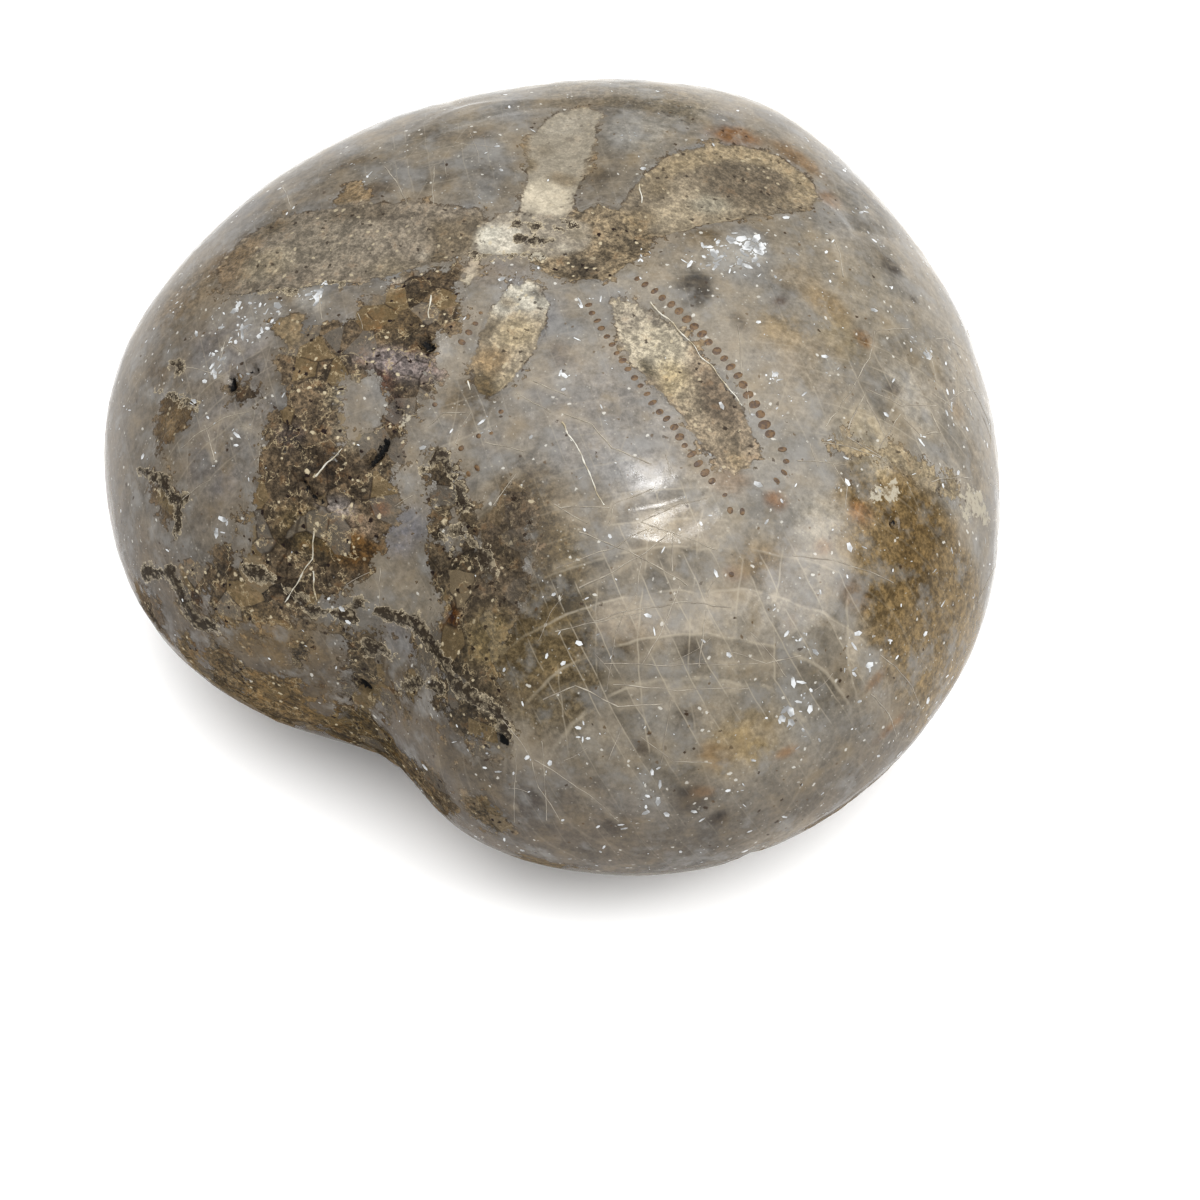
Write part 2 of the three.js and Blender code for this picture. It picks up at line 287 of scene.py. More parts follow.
# The ground between the petals: grey polished calcite with stains and shadows inside it, and painted light
# and shade: paler to the right, darker to the left, on the steep sides and low down
groundSettings = {
    "cool": "#929191", "warm": "#979086", "pale": "#aca69c", "deep": "#837a70",
    "veined": [  # soft-edged ground seen through the polish: outline, colour, strength
        ([(23.6, -3.2), (26.6, -1.9), (30.4, -2.4), (34.6, -2.8), (35.0, -8), (33.4, -12.4), (29.8, -14.6),
          (27.4, -12.6), (25.4, -10.4), (23.6, -8.6), (22.8, -6.0)], "#877555", 0.95),
        ([(26.4, -4.4), (29.4, -3.6), (31.0, -6.4), (31.0, -9.6), (28.4, -9.0), (26.6, -6.6)], "#7b694b",
          0.6),
        ([(2.6, -16.2), (5.0, -15.6), (7.4, -17.6), (10.2, -19.6), (11.8, -23.0), (13.6, -27.2),
          (9.6, -29.2), (4.6, -27.2), (2.2, -23.2)], "#72664f", 0.95),
        ([(2.0, -14.2), (5.0, -14.6), (7.2, -17.6), (7.8, -22.6), (5.4, -26.0), (2.0, -22.0)], "#6a5e4c",
          0.6),
        ([(-27.4, -4.6), (-25.2, -3.4), (-24.6, -7.2), (-26.4, -9.8), (-29.0, -8.6)], "#85765f", 0.6),
        ([(-9.0, 17.4), (-4.0, 18.0), (1.8, 19.0), (2.2, 23.6), (-4.4, 23.8), (-11.0, 21.6)], "#837a68",
          0.7),
    ],
    "walls": ("#65584a", "#7a7064"),  # painted shade on the low sides, the left one and the right one
    "sides": "#6a6259",  # painted shade wherever the stone turns steep
    "stains": [  # x, y, radius, stretch, turn, colour, strength
        (28.4, -16.6, 2.6, 1.2, 0, "#877e6f", 0.6), (20.5, -27.5, 2.4, 1.2, 0, "#736a5c", 0.5),
        (24.5, 3.6, 2.8, 1.3, 0, "#b5b2ad", 0.7), (26.6, -24.4, 2.6, 1.4, 40, "#a79e91", 0.7),
        (32.0, -8.4, 2.0, 1.4, 80, "#786748", 0.6), (0.8, -26.9, 2.0, 1.6, -10, "#5e5346", 0.7),
        (-22.8, 3.2, 3.0, 1.4, 30, "#837b70", 0.6), (-1.6, -27.1, 2.6, 1.4, 0, "#625747", 0.8),
        (12.8, -17.8, 3.4, 1.4, 0, "#827b70", 0.7), (10.9, -13.3, 2.8, 1.3, 0, "#7c7a78", 0.75),
        (8.4, 3.0, 1.7, 1, 0, "#453e34", 1.0), (8.8, 2.4, 1.2, 1, 0, "#4b443a", 0.9),
        (19.2, 14.4, 1.1, 1, 0, "#50483f", 0.9), (15.1, 2.4, 1.9, 1.2, 20, "#9b8a6c", 0.9),
        (14.0, 4.8, 0.59, 1, 0, "#5a4028", 0.9), (12.2, 1.4, 0.7, 1.7, -60, "#5c544b", 0.8),
        (23.4, 3.2, 0.84, 1.2, 40, "#6b6560", 0.7), (21.6, 12.8, 0.56, 1, 0, "#5a5248", 0.8),
        (18.6, -21.6, 1.3, 1, 0, "#58514a", 0.8), (13.8, -23.7, 1.1, 1, 0, "#58503f", 0.8),
        (17.2, -27.3, 0.84, 1, 0, "#5b5148", 0.8), (20.9, -27.6, 1.3, 1.2, 25, "#47403a", 0.9),
        (22.8, -27.0, 0.98, 1, 0, "#4a423b", 0.9), (16.5, -30.3, 1.1, 1, 0, "#554d45", 0.9),
        (22.0, -28.0, 0.84, 1, 0, "#4a433c", 0.9), (25.7, -24.9, 0.84, 1, 0, "#554c42", 0.8),
        (10.4, -31.4, 1.3, 1, 0, "#5a5350", 0.7), (19.4, -24.8, 1.1, 1, 0, "#5e564d", 0.6),
        (-20.2, 6.6, 1.3, 1, 0, "#6a6259", 0.8), (-14.8, 10.7, 1.4, 1.5, 0, "#6d665d", 0.7),
        (-12.2, 11.4, 1.4, 1, 0, "#766d62", 0.6), (-9.4, 7.7, 0.98, 1.8, 0, "#5f584d", 0.8),
        (-16.6, 3.6, 1.4, 1.4, 20, "#6a5f52", 0.7), (-12.6, 5.2, 0.98, 1.4, 60, "#5e5850", 0.7),
        (-1.0, 18.4, 1.1, 1, 0, "#736a60", 0.8), (-2.2, 9.6, 1.3, 1, 0, "#6a6257", 0.7),
        (7.0, 7.6, 1.2, 1.3, 20, "#75674f", 0.8), (2.2, -6.2, 1.3, 1.2, -50, "#6f6862", 0.7),
        (3.2, -10.2, 1.2, 1.3, 0, "#7d756a", 0.6), (-27.5, -8.0, 1.6, 1.6, -50, "#7a6c5a", 0.7),
        (-26.4, -13.6, 1.2, 1.4, -40, "#766a5c", 0.7), (-25.4, -3.6, 1.6, 1.3, 60, "#7a6a55", 0.8),
        (-5.5, 19.0, 3.2, 1.5, 0, "#80776b", 0.6), (-0.6, 22.4, 1.6, 1, 0, "#897c69", 0.5),
        (5.0, 19.4, 1.5, 1.8, 35, "#8a6844", 0.9), (9.6, 20.6, 1.5, 2.2, -5, "#8c7353", 0.85),
        (13.2, 17.6, 1.2, 1.2, -60, "#8a7058", 0.7), (17.2, 6.5, 1.5, 1.6, -10, "#a48f6c", 0.65),
        (20.2, 5.6, 0.8, 1.2, 0, "#9f7440", 0.9), (14.6, 7.2, 1.8, 1.3, 10, "#a1937d", 0.6),
        (18.8, 4.6, 2.0, 1.2, -30, "#a69a82", 0.6), (27.4, 6.3, 1.0, 1.6, 60, "#a38a69", 0.7),
        (24.8, -7.2, 1.1, 1.2, 0, "#8f6c48", 0.85), (20.6, -14.6, 1.3, 1.3, 60, "#7d6544", 0.9),
        (21.4, -12.6, 1.1, 1.4, 50, "#71634f", 0.9), (19.6, -10.1, 0.8, 1.3, 20, "#957253", 0.8),
        (16.4, -10.3, 1.3, 1.3, -30, "#968069", 0.7), (19.1, -16.0, 0.7, 1.6, 20, "#907662", 0.6),
        (23.4, -16.6, 0.5, 1.6, 80, "#957a58", 0.7), (26.4, -12.4, 1.4, 1.2, 0, "#977f66", 0.6),
        (29.4, -15.2, 0.5, 2.2, 70, "#8b6d4c", 0.7), (31.0, -15.6, 0.56, 3.0, 70, "#8a6743", 0.7),
        (25.6, -22.6, 0.5, 2.0, 50, "#94714e", 0.7), (21.5, -27.0, 0.5, 2.4, 20, "#8d6d4b", 0.6),
        (13.6, -14.9, 1.8, 1.3, 30, "#a79c8a", 0.7), (13.6, -22.6, 2.2, 1.5, 30, "#85796a", 0.6),
        (11.8, -26.6, 1.8, 1.4, 30, "#857a67", 0.7), (7.8, -16.6, 2.0, 1.4, 20, "#857c6e", 0.6),
        (23.2, -23.8, 2.5, 1.2, 30, "#ab9b7d", 0.9), (21.6, -25.4, 1.2, 1.2, 0, "#8a6f4b", 0.6),
        (-10.3, -27.3, 3.0, 1.7, 0, "#8b7859", 0.85), (-14.6, -27.3, 2.6, 1.3, 0, "#84745a", 0.8),
        (-6.6, -27.7, 2.8, 1.3, 0, "#73644e", 0.85), (-1.8, -27.3, 3.2, 1.3, 0, "#6b5e4b", 0.85),
        (3.2, -30.1, 3.0, 1.4, -30, "#6c6050", 0.8), (7.6, -31.2, 2.4, 1.4, -20, "#746a5b", 0.7),
        (-11.8, -26.8, 1.2, 1.2, 0, "#a98e66", 0.7), (-17.6, -26.7, 2.0, 1.4, -20, "#71655a", 0.7),
        (-21.6, -24.6, 2.4, 1.5, -30, "#776d62", 0.6), (22.8, -14.6, 3.4, 1.3, -40, "#b5afa6", 0.75),
        (22.6, -9.4, 1.9, 1.2, 60, "#bdb7ac", 0.7), (23.6, -11.0, 0.7, 1.2, 60, "#b49a80", 0.6),
        (10.6, -6.2, 3.2, 1.6, -35, "#a09d9b", 0.5), (-2.4, -12.2, 2.2, 1.3, 60, "#6d614e", 0.9),
        (-3.2, -14.2, 1.4, 1.3, 0, "#8a8074", 0.6), (-1.2, 16.2, 3.2, 1.2, 80, "#a9a7a3", 0.7),
        (-17.3, -17.8, 3.2, 1.2, 0, "#9d9a9a", 0.7), (12.7, -31.4, 5.0, 1.4, -10, "#736b64", 0.5),
        (18.6, -30.0, 4.0, 1.4, 20, "#7c746b", 0.45), (23.5, -1.9, 2.4, 1.5, -30, "#c2b8a4", 0.8),
        (15.2, 20.2, 3.2, 1.5, -50, "#7a746a", 0.8), (26.6, 8.6, 3.4, 1.6, -65, "#938b7e", 0.6),
        (30.0, 3.6, 2.6, 1.6, -75, "#968b7a", 0.6), (20.0, -14.4, 1.6, 1.3, 30, "#958469", 0.7),
        (6.6, -9.6, 4.6, 1.3, -40, "#9c9a9b", 0.6), (10.4, -12.8, 3.0, 1.3, -20, "#a5a4a5", 0.6),
        (-0.6, -4.6, 1.6, 1.8, 80, "#97969a", 0.6), (-4.6, -1.4, 1.6, 1.3, 30, "#918f92", 0.7),
        (3.4, 12.2, 3.2, 1.4, 60, "#a3a3a2", 0.6), (-20.6, -12.6, 4.0, 1.3, 20, "#939298", 0.5),
        (-18.0, -19.6, 3.0, 1.2, 0, "#8f8d92", 0.5), (17.5, 1.4, 3.4, 1.4, -20, "#a69d90", 0.5),
        (13.2, -9.0, 2.4, 1.8, -35, "#a5a09b", 0.5), (-3.4, -20.6, 1.7, 1.4, 60, "#8a8a92", 0.8),
        (-3.2, -14.4, 1.5, 1.2, 30, "#91908f", 0.7), (-16.6, -7.4, 1.2, 1.3, -10, "#b2afab", 0.8),
        (-5.7, -9.2, 0.9, 1.6, 80, "#a9a5a0", 0.8), (-22.3, -15.0, 1.9, 1.6, -10, "#8d867d", 0.7),
        (-17.4, -18.6, 2.6, 1.3, 20, "#8b857d", 0.6), (-17.6, -22.6, 1.8, 1.2, 70, "#88827c", 0.6),
        (0.4, -14.4, 1.2, 1.3, -60, "#8f8b88", 0.7), (-2.0, -25.4, 1.3, 1.8, -10, "#87868b", 0.7),
        (2.6, -14.2, 1.6, 1.4, 70, "#8a847c", 0.6),
    ],
}

# Weathered ground: silt and broken shell, left rough, brown and granular
weatheredSettings = {
    "relief": 0.22,
    "zones": [  # outline, colour, how granular it is, how far it is broken into shards
        ([(-13.4, -4.2), (-10.2, -2.6), (-7.2, -1.2), (-6.2, -4.4), (-5.2, -6.2), (-6.4, -8.2),
          (-5.6, -10.6), (-4.6, -12.4), (-5.8, -14.4), (-5.4, -17.6), (-4.4, -19.6), (-4.2, -22.2),
          (-6.2, -24.2), (-9.0, -26.6), (-13.0, -27.4), (-17.6, -27.0), (-19.4, -25.6), (-15.6, -24.6),
          (-14.6, -20.4), (-15.6, -17.4), (-14.4, -15.0), (-16.6, -13.4), (-16.2, -10.4), (-14.2, -8.8),
          (-12.4, -8.0)], "#716555", 1.1, 1.0),
        ([(-3.6, -16.6), (-2.4, -15.4), (-0.6, -17.2), (1.6, -18.8), (2.6, -20.6), (3.8, -22.6),
          (4.4, -25.4), (7.8, -28.8), (8.6, -30.2), (5.6, -30.6), (2.2, -28.8), (-1.6, -27.8),
          (-5.4, -27.6), (-9.6, -28.0), (-9.0, -26.6), (-4.6, -25.6), (0.6, -25.4), (1.2, -24.0),
          (-0.4, -22.8), (-1.8, -21.2), (-1.8, -18.9), (-3.2, -18.2)], "#665c4d", 1.05, 0.9),
        ([(2.6, -16.2), (4.4, -16.8), (5.6, -19.0), (6.8, -21.6), (7.0, -25.0), (5.6, -27.6), (4.0, -26.0),
          (2.8, -24.0), (3.4, -22.2), (2.2, -19.4)], "#73685a", 0.9, 0.4),
        ([(-16.0, -9.0), (-17.6, -8.8), (-18.6, -9.6), (-17.2, -10.8), (-16.0, -11.4)], "#8e816c", 0.7,
          0.0),
        ([(-19.4, 4.6), (-19.5, 1.4), (-18.0, 1.2), (-16.4, 2.0), (-17.0, 3.4)], "#94856f", 0.8, 0.0),
        ([(21.0, -4.6), (24.4, -2.8), (28.0, -1.8), (30.4, -1.0), (29.4, 1.0), (27.0, -0.4), (24.0, -1.8),
          (21.6, -3.0)], "#a19682", 0.7, 0.6),
        ([(-25.0, -15.0), (-22.8, -15.6), (-20.9, -16.7), (-22.4, -18.2), (-23.9, -19.3), (-24.6, -17.4)],
          "#6f604c", 0.6, 0.2),
        ([(-24.6, -19.8), (-22.2, -20.8), (-19.7, -22.0), (-20.0, -23.7), (-21.6, -22.8), (-23.2, -21.2)],
          "#6c5d4a", 0.6, 0.2),
        ([(-19.9, -14.2), (-18.4, -14.4), (-17.0, -14.6), (-16.9, -15.8), (-18.2, -16.2), (-19.2, -15.4)],
          "#5b5043", 0.8, 0.5),
    ],
    "islands": [  # outlines of whole polished plates that stand in the weathered ground
        [(-11.4, -13.0), (-9.4, -12.4), (-8.0, -13.4), (-7.6, -15.4), (-8.6, -17.4), (-9.8, -17.6),
         (-10.4, -15.8)],
        [(-6.2, -8.4), (-5.2, -8.0), (-4.4, -9.4), (-4.6, -10.8), (-5.8, -10.6)],
        [(-5.6, -12.8), (-4.4, -12.6), (-4.0, -14.4), (-5.2, -15.0)],
        [(-13.9, -5.6), (-12.4, -4.6), (-11.2, -5.2), (-12.0, -6.6), (-13.4, -6.8)],
        [(-17.8, -26.8), (-16.6, -26.4), (-16.2, -27.6), (-17.4, -28.2)],
        [(-15.2, -23.4), (-14.2, -23.2), (-13.9, -24.2), (-15.0, -24.6)],
        [(-8.4, -26.4), (-6.6, -26.0), (-5.4, -26.6), (-6.4, -28.0), (-8.6, -28.4)],
        [(-3.0, -25.6), (-1.2, -25.2), (-0.2, -26.6), (-1.2, -27.6), (-2.8, -27.0)],
        [(0.8, -27.0), (2.0, -27.6), (1.8, -28.8), (0.6, -28.2)],
        [(-0.6, -18.6), (0.6, -19.2), (0.8, -20.6), (-0.6, -20.4)],
        [(-5.4, -21.4), (-3.8, -21.8), (-3.4, -23.4), (-4.8, -23.8)],
    ],
    "walls": [  # x, y, z, radius, colour: rough patches on the steep sides
        (-16.0, -27.6, 14.0, 3.4, "#7f7059"), (-10.0, -28.2, 13.0, 3.8, "#857356"),
        (-4.0, -27.8, 11.5, 3.8, "#67593f"), (2.6, -29.6, 13.0, 3.0, "#6f6250"),
        (-21.6, -24.4, 15.0, 2.2, "#75685a"), (7.4, -31.4, 15.0, 2.0, "#7a6e5c"),
        (-1.4, -27.6, 8.2, 3.4, "#544a3c"),
    ],
    "patches": [  # x, y, radius, stretch, turn, colour, strength
        (-9.8, -14.4, 1.9, 1.3, -35, "#a39c8c", 0.9), (-9.2, -16.2, 1.5, 1.2, 0, "#8b8578", 0.8),
        (-8.2, -10.9, 1.3, 3.0, 3, "#a89fa0", 0.85), (-9.2, -7.0, 2.4, 1.2, 60, "#6d5f49", 0.8),
        (-11.4, -8.4, 0.9, 1, 0, "#7b5a36", 0.8), (-7.0, -14.0, 0.9, 1.8, -70, "#4d3c36", 0.9),
        (-8.6, -12.3, 0.8, 1.4, -30, "#6c5144", 0.8), (-9.6, -19.0, 1.5, 1.1, 0, "#5e5142", 0.8),
        (-6.4, -22.6, 1.6, 1.6, 10, "#6f5631", 0.8), (-9.8, -22.6, 2.2, 1.3, 0, "#7d6f50", 0.7),
        (-5.4, -20.0, 0.55, 1.2, 0, "#80511d", 0.95), (-13.4, -17.6, 1.2, 1, 0, "#665e5c", 0.7),
        (-6.6, -21.2, 1.0, 1.8, -10, "#98897a", 0.8), (-8.4, -20.8, 0.7, 2.2, 10, "#a8a2a0", 0.8),
        (-13.4, -5.8, 1.0, 1.5, 60, "#b0a089", 0.8), (-12.0, -4.6, 1.1, 1.6, 0, "#b5b0a8", 0.7),
        (-5.9, -18.4, 1.0, 1.4, 60, "#8f8371", 0.7), (-13.2, -27.2, 2.6, 1.4, 0, "#8d7c60", 0.8),
        (-10.6, -27.0, 1.0, 1.2, 0, "#a38a68", 0.8), (-17.2, -26.4, 1.0, 1.5, -20, "#5a5047", 0.9),
        (2.0, -24.6, 0.8, 1.3, -60, "#5b3d1b", 0.95), (6.0, -25.8, 2.6, 1.3, 0, "#938566", 0.85),
        (4.6, -20.6, 1.6, 1.3, -40, "#5a5041", 0.8), (7.6, -22.8, 1.5, 1.2, 0, "#5f5443", 0.8),
        (6.6, -18.4, 1.2, 1.3, 40, "#7b7466", 0.6), (28.4, -4.4, 2.6, 1.4, 20, "#6f6045", 0.8),
        (27.2, -4.0, 0.7, 1, 0, "#7d5430", 0.7), (29.6, -6.4, 0.7, 1, 0, "#94713a", 0.8),
        (30.4, -9.8, 1.2, 1.2, 0, "#64543a", 0.8), (26.6, -8.6, 1.3, 1.3, 30, "#8c7f6b", 0.7),
        (-23.2, -17.3, 0.9, 1.3, -60, "#8d7c63", 0.85), (-21.5, -22.0, 0.8, 1.6, -30, "#85785f", 0.8),
        (-3.0, -16.2, 0.6, 1.3, 20, "#9c8f78", 0.8), (6.4, -28.8, 0.8, 1.8, -25, "#a89e8e", 0.9),
    ],
}

# Hollows, chips and crusts
hollowSettings = {
    "depth": 0.45,
    "hollows": [  # points along the hollow, half width
        ([(-7.1, -8.7), (-6.6, -9.0)], 0.34), ([(-6.6, -16.2), (-6.7, -17.0), (-7.2, -18.0)], 0.12),
        ([(-11.3, -20.1), (-10.4, -20.7), (-9.4, -20.9)], 0.1), ([(-7.2, -13.8), (-6.6, -14.2)], 0.14),
        ([(26.95, -6.1), (27.05, -6.15)], 0.14), ([(-4.2, -27.2), (-3.8, -27.3)], 0.2),
        ([(7.7, -29.9), (8.2, -30.1)], 0.22), ([(-19.8, -14.3), (-19.3, -14.9)], 0.2),
        ([(-18.3, -13.4), (-18.0, -13.6)], 0.18),
    ],
    "crusts": [  # points along the crust, half width
        ([(-5.4, 3.5), (-3.8, 3.9), (-2.0, 4.3)], 0.06), ([(-4.9, 2.1), (-3.5, 2.6), (-2.3, 3.0)], 0.1),
        ([(-7.0, -0.2), (-5.4, 0.2), (-3.8, 0.9), (-2.6, 1.3)], 0.1), ([(-2.9, 5.0), (-1.6, 4.8)], 0.05),
        ([(-22.6, -24.7), (-19.8, -25.3), (-18.4, -26.3), (-17.2, -27.0), (-15.4, -27.2)], 0.33),
        ([(-14.0, -25.0), (-11.4, -25.2), (-8.6, -25.7), (-5.4, -25.3)], 0.24),
        ([(-5.2, -24.7), (-3.2, -24.5), (-1.2, -24.6), (0.4, -25.5), (1.4, -26.2), (2.6, -27.0)], 0.33),
        ([(-4.0, -26.0), (-2.8, -25.9), (-1.8, -26.2)], 0.3),
        ([(2.6, -27.0), (3.4, -27.9), (5.2, -28.7), (7.2, -29.0), (8.0, -29.6)], 0.31),
        ([(-1.0, -27.4), (0.8, -27.6), (2.4, -28.1)], 0.24),
        ([(-3.4, -17.0), (-2.7, -15.8), (-1.9, -16.2), (-0.9, -17.4), (0.0, -18.2)], 0.2),
        ([(-0.8, -20.2), (0.4, -19.8), (1.4, -20.2), (2.6, -21.0), (3.6, -22.0)], 0.24),
        ([(-0.4, -20.4), (0.5, -21.2)], 0.18),
        ([(-25.9, -15.0), (-24.8, -15.2), (-22.6, -15.8), (-21.2, -16.6)], 0.19),
        ([(-24.9, -19.8), (-22.6, -20.8), (-21.0, -21.7), (-19.6, -22.0)], 0.2),
        ([(-20.1, -22.2), (-20.0, -23.7)], 0.11),
        ([(-22.2, -7.7), (-19.6, -7.1), (-17.4, -6.3), (-15.0, -5.5)], 0.1),
        ([(-25.6, -12.9), (-24.2, -13.4), (-24.6, -14.4)], 0.15),
    ],
    "chips": [  # outlines of pale broken shell
        [(24.7, -5.8), (25.2, -4.8), (25.9, -4.2), (26.0, -3.4), (26.6, -3.8), (26.5, -4.5), (25.7, -5.2),
         (25.4, -5.9)],
        [(30.1, 0.2), (30.7, -1.1), (31.2, 0.2), (31.9, 1.6), (31.0, 2.4), (30.2, 1.6)],
        [(-6.2, -14.4), (-5.7, -14.0), (-5.5, -14.5), (-6.0, -14.8)],
        [(-3.2, 1.4), (-2.6, 1.6), (-2.3, 1.1), (-2.9, 0.8)],
    ],
}


def awayFrom(route):  # mm from each point to the closest spot on a route of 3-D points
    best = np.full(len(points), farOff)
    for a, b in zip(route[:-1], route[1:]):
        side = b - a
        share = np.clip((points - a) @ side / max(side @ side, 1e-12), 0, 1)
        best = np.minimum(best, np.linalg.norm(a + share[:, None] * side - points, axis=1))
    return best


def layRoute(places, step=0.5, sway=0.12):  # a route on the stone through places seen from above
    spots = []
    for (ax, ay), (bx, by) in zip(places[:-1], places[1:]):
        count = max(1, round(math.hypot(bx - ax, by - ay) / step))
        spots += [(ax + (bx - ax) * i / count, ay + (by - ay) * i / count) for i in range(count)]
    spots.append(places[-1])
    laid = [onStone(x, y) for x, y in spots]
    return np.array([spot + sway * noise.noise_vector(spot * 0.8) for spot in laid])


def layered(base, colours, strengths):
    for colour, strength in zip(colours, strengths):
        base = base + strength[:, None] * (linear(colour) - base)
    return base


def groundColours():
    base = np.tile(linear(groundSettings["warm"]), (len(points), 1))
    shades = (groundSettings["cool"], groundSettings["pale"], groundSettings["deep"])
    # painted light and shade: paler towards the right and darker towards the left, as the light falls from
    # the right; the cool swells and the broad swell are the stone's own cloudy tones
    rightward = eased(points[:, 0], 0, 30)
    leftward = eased(-points[:, 0] - points[:, 1] * 0.4, 2, 34)
    toPale = 0.55 * rightward + 0.3 * eased(swell[12], 0, 0.6)
    strengths = (eased(swell[5], -0.1, 0.5), toPale, 0.55 * leftward)
    base = layered(base, shades, strengths)
    # painted shade: darker wherever the stone turns steep
    steep = eased(1 - normals[:, 2], 0.35, 1.0)
    base = layered(base, [groundSettings["sides"]], [0.6 * steep])
    # painted shade: darker towards the bottom of the stone, most on the left
    low = 1 - eased(points[:, 2], 9, 24)
    toLeft = 1 - eased(points[:, 0], -4, 20)
    base = layered(base, groundSettings["walls"][::-1], (0.6 * low, 0.8 * low * toLeft))
    granular = np.zeros(len(points))
    uneven = np.clip(0.95 + 0.8 * swell[1.1], 0.3, 1)  # stains are broken up by the grain of the stone
    for outline, colour, strength in groundSettings["veined"]:
        reach = insideOf(rounded(outline, 1), 2.0) + 0.5 * swell[2.2]
        share = strength * eased(reach, -1.3, 1.0)
        base = layered(base, [colour], [share])
        granular = np.maximum(granular, share)
    for x, y, radius, stretch, turn, colour, strength in groundSettings["stains"]:
        share = strength * blob(x, y, radius, stretch, turn)
        base = layered(base, [colour], [share * uneven])
        granular = np.maximum(granular, 0.3 * share)
    return base, granular


petals = [petal for petal in petalSettings.values() if isinstance(petal, dict)]
petalInsides = [insideOf(rounded(petal["outline"]), 0.8) for petal in petals]


def fillFields():
    colour = np.tile(linear("#8b7e6b"), (len(points), 1))
    edge = np.full(len(points), outside)
    grain = np.full(len(points), 0.6)
    broken = np.full(len(points), 0.3)
    for outline, shade, granular, shattered in weatheredSettings["zones"]:
        inside = insideOf(rounded(outline, 1), 1.6)
        share = eased(inside, -0.9, 0.3)
        colour = layered(colour, [shade], [share])
        grain += share * (granular - grain)
        broken += share * (shattered - broken)
        edge = np.maximum(edge, inside)
    for x, y, z, radius, shade in weatheredSettings["walls"]:
        inside = radius - np.linalg.norm(points - (x, y, z), axis=1) + 0.9 * swell[2.2]
        share = eased(inside, -0.9, 0.6)
        colour = layered(colour, [shade], [share])
        grain += share * (1.1 - grain)
        broken += share * (0.7 - broken)
        edge = np.maximum(edge, inside)
    for outline in weatheredSettings["islands"]:
        edge = np.minimum(edge, -insideOf(outline, 0.8))
    for x, y, radius, stretch, turn, shade, strength in weatheredSettings["patches"]:
        colour = layered(colour, [shade], [strength * blob(x, y, radius, stretch, turn)])
    for petal, inside in zip(petals, petalInsides):
        share = eased(inside, -0.5, 0.1)
        colour = layered(colour, [petal["colour"]], [share])
        ex, ey = petal["end"]
        toEnd = np.hypot(plan[:, 0] - ex, plan[:, 1] - ey) + 1.2 * swell[2.2]
        bright = share * (1 - eased(toEnd, 0.5 * petal["endReach"], petal["endReach"]))
        colour = layered(colour, [petal["endColour"]], [bright])
        grain += share * (petal["grain"] - grain)
        broken *= 1 - share
        edge = np.maximum(edge, inside)
    for x, y, radius, stretch, turn, shade, strength in petalSettings["patches"]:
        colour = layered(colour, [shade], [strength * blob(x, y, radius, stretch, turn)])
    return colour, edge, grain, broken


groundColour, granular = groundColours()
fillColour, fillEdge, grain, broken = fillFields()
rimLight = petalInsides[petals.index(petalSettings["rearRight"])]  # the pale rim of the broad petal
outerSide = eased(points[:, 1] - 0.5 * points[:, 0], 8.0, 12.0)
fillColour = layered(fillColour, ["#a89c87"], [outerSide * (1 - eased(np.abs(rimLight - 0.9), 0.5, 1.2))])
chipEdge = np.max([insideOf(o, 0.6) for o in hollowSettings["chips"]], axis=0)
hollowEdge = np.full(len(points), outside)
for places, halfWidth in hollowSettings["hollows"]:
    hollowEdge = np.maximum(hollowEdge, halfWidth - awayFrom(layRoute(places, 0.3)))
crustEdge = np.full(len(points), outside)
for places, halfWidth in hollowSettings["crusts"]:
    crustEdge = np.maximum(crustEdge, halfWidth - awayFrom(layRoute(places)))
print("fields: petals, weathered ground, hollows and crusts")

# Under the stone: bare matrix in cloudy patches, and the mouth's hollow
underside = 1 - crown
matrixPatch = swell[12] + 0.6 * swell[5]
fillEdge = np.where(underside > 0.5, np.maximum(3 * (matrixPatch - 0.25), fillEdge), fillEdge)
mouthReach = np.hypot(points[:, 0] + 0.4, points[:, 1] + 15.5)
mouthDark = underside * (1 - eased(mouthReach, 2.2, 5.5))
groundColour = layered(groundColour, ["#6a5d4c"], [mouthDark])
fillColour = layered(fillColour, ["#82745f"], [underside * 0.8])

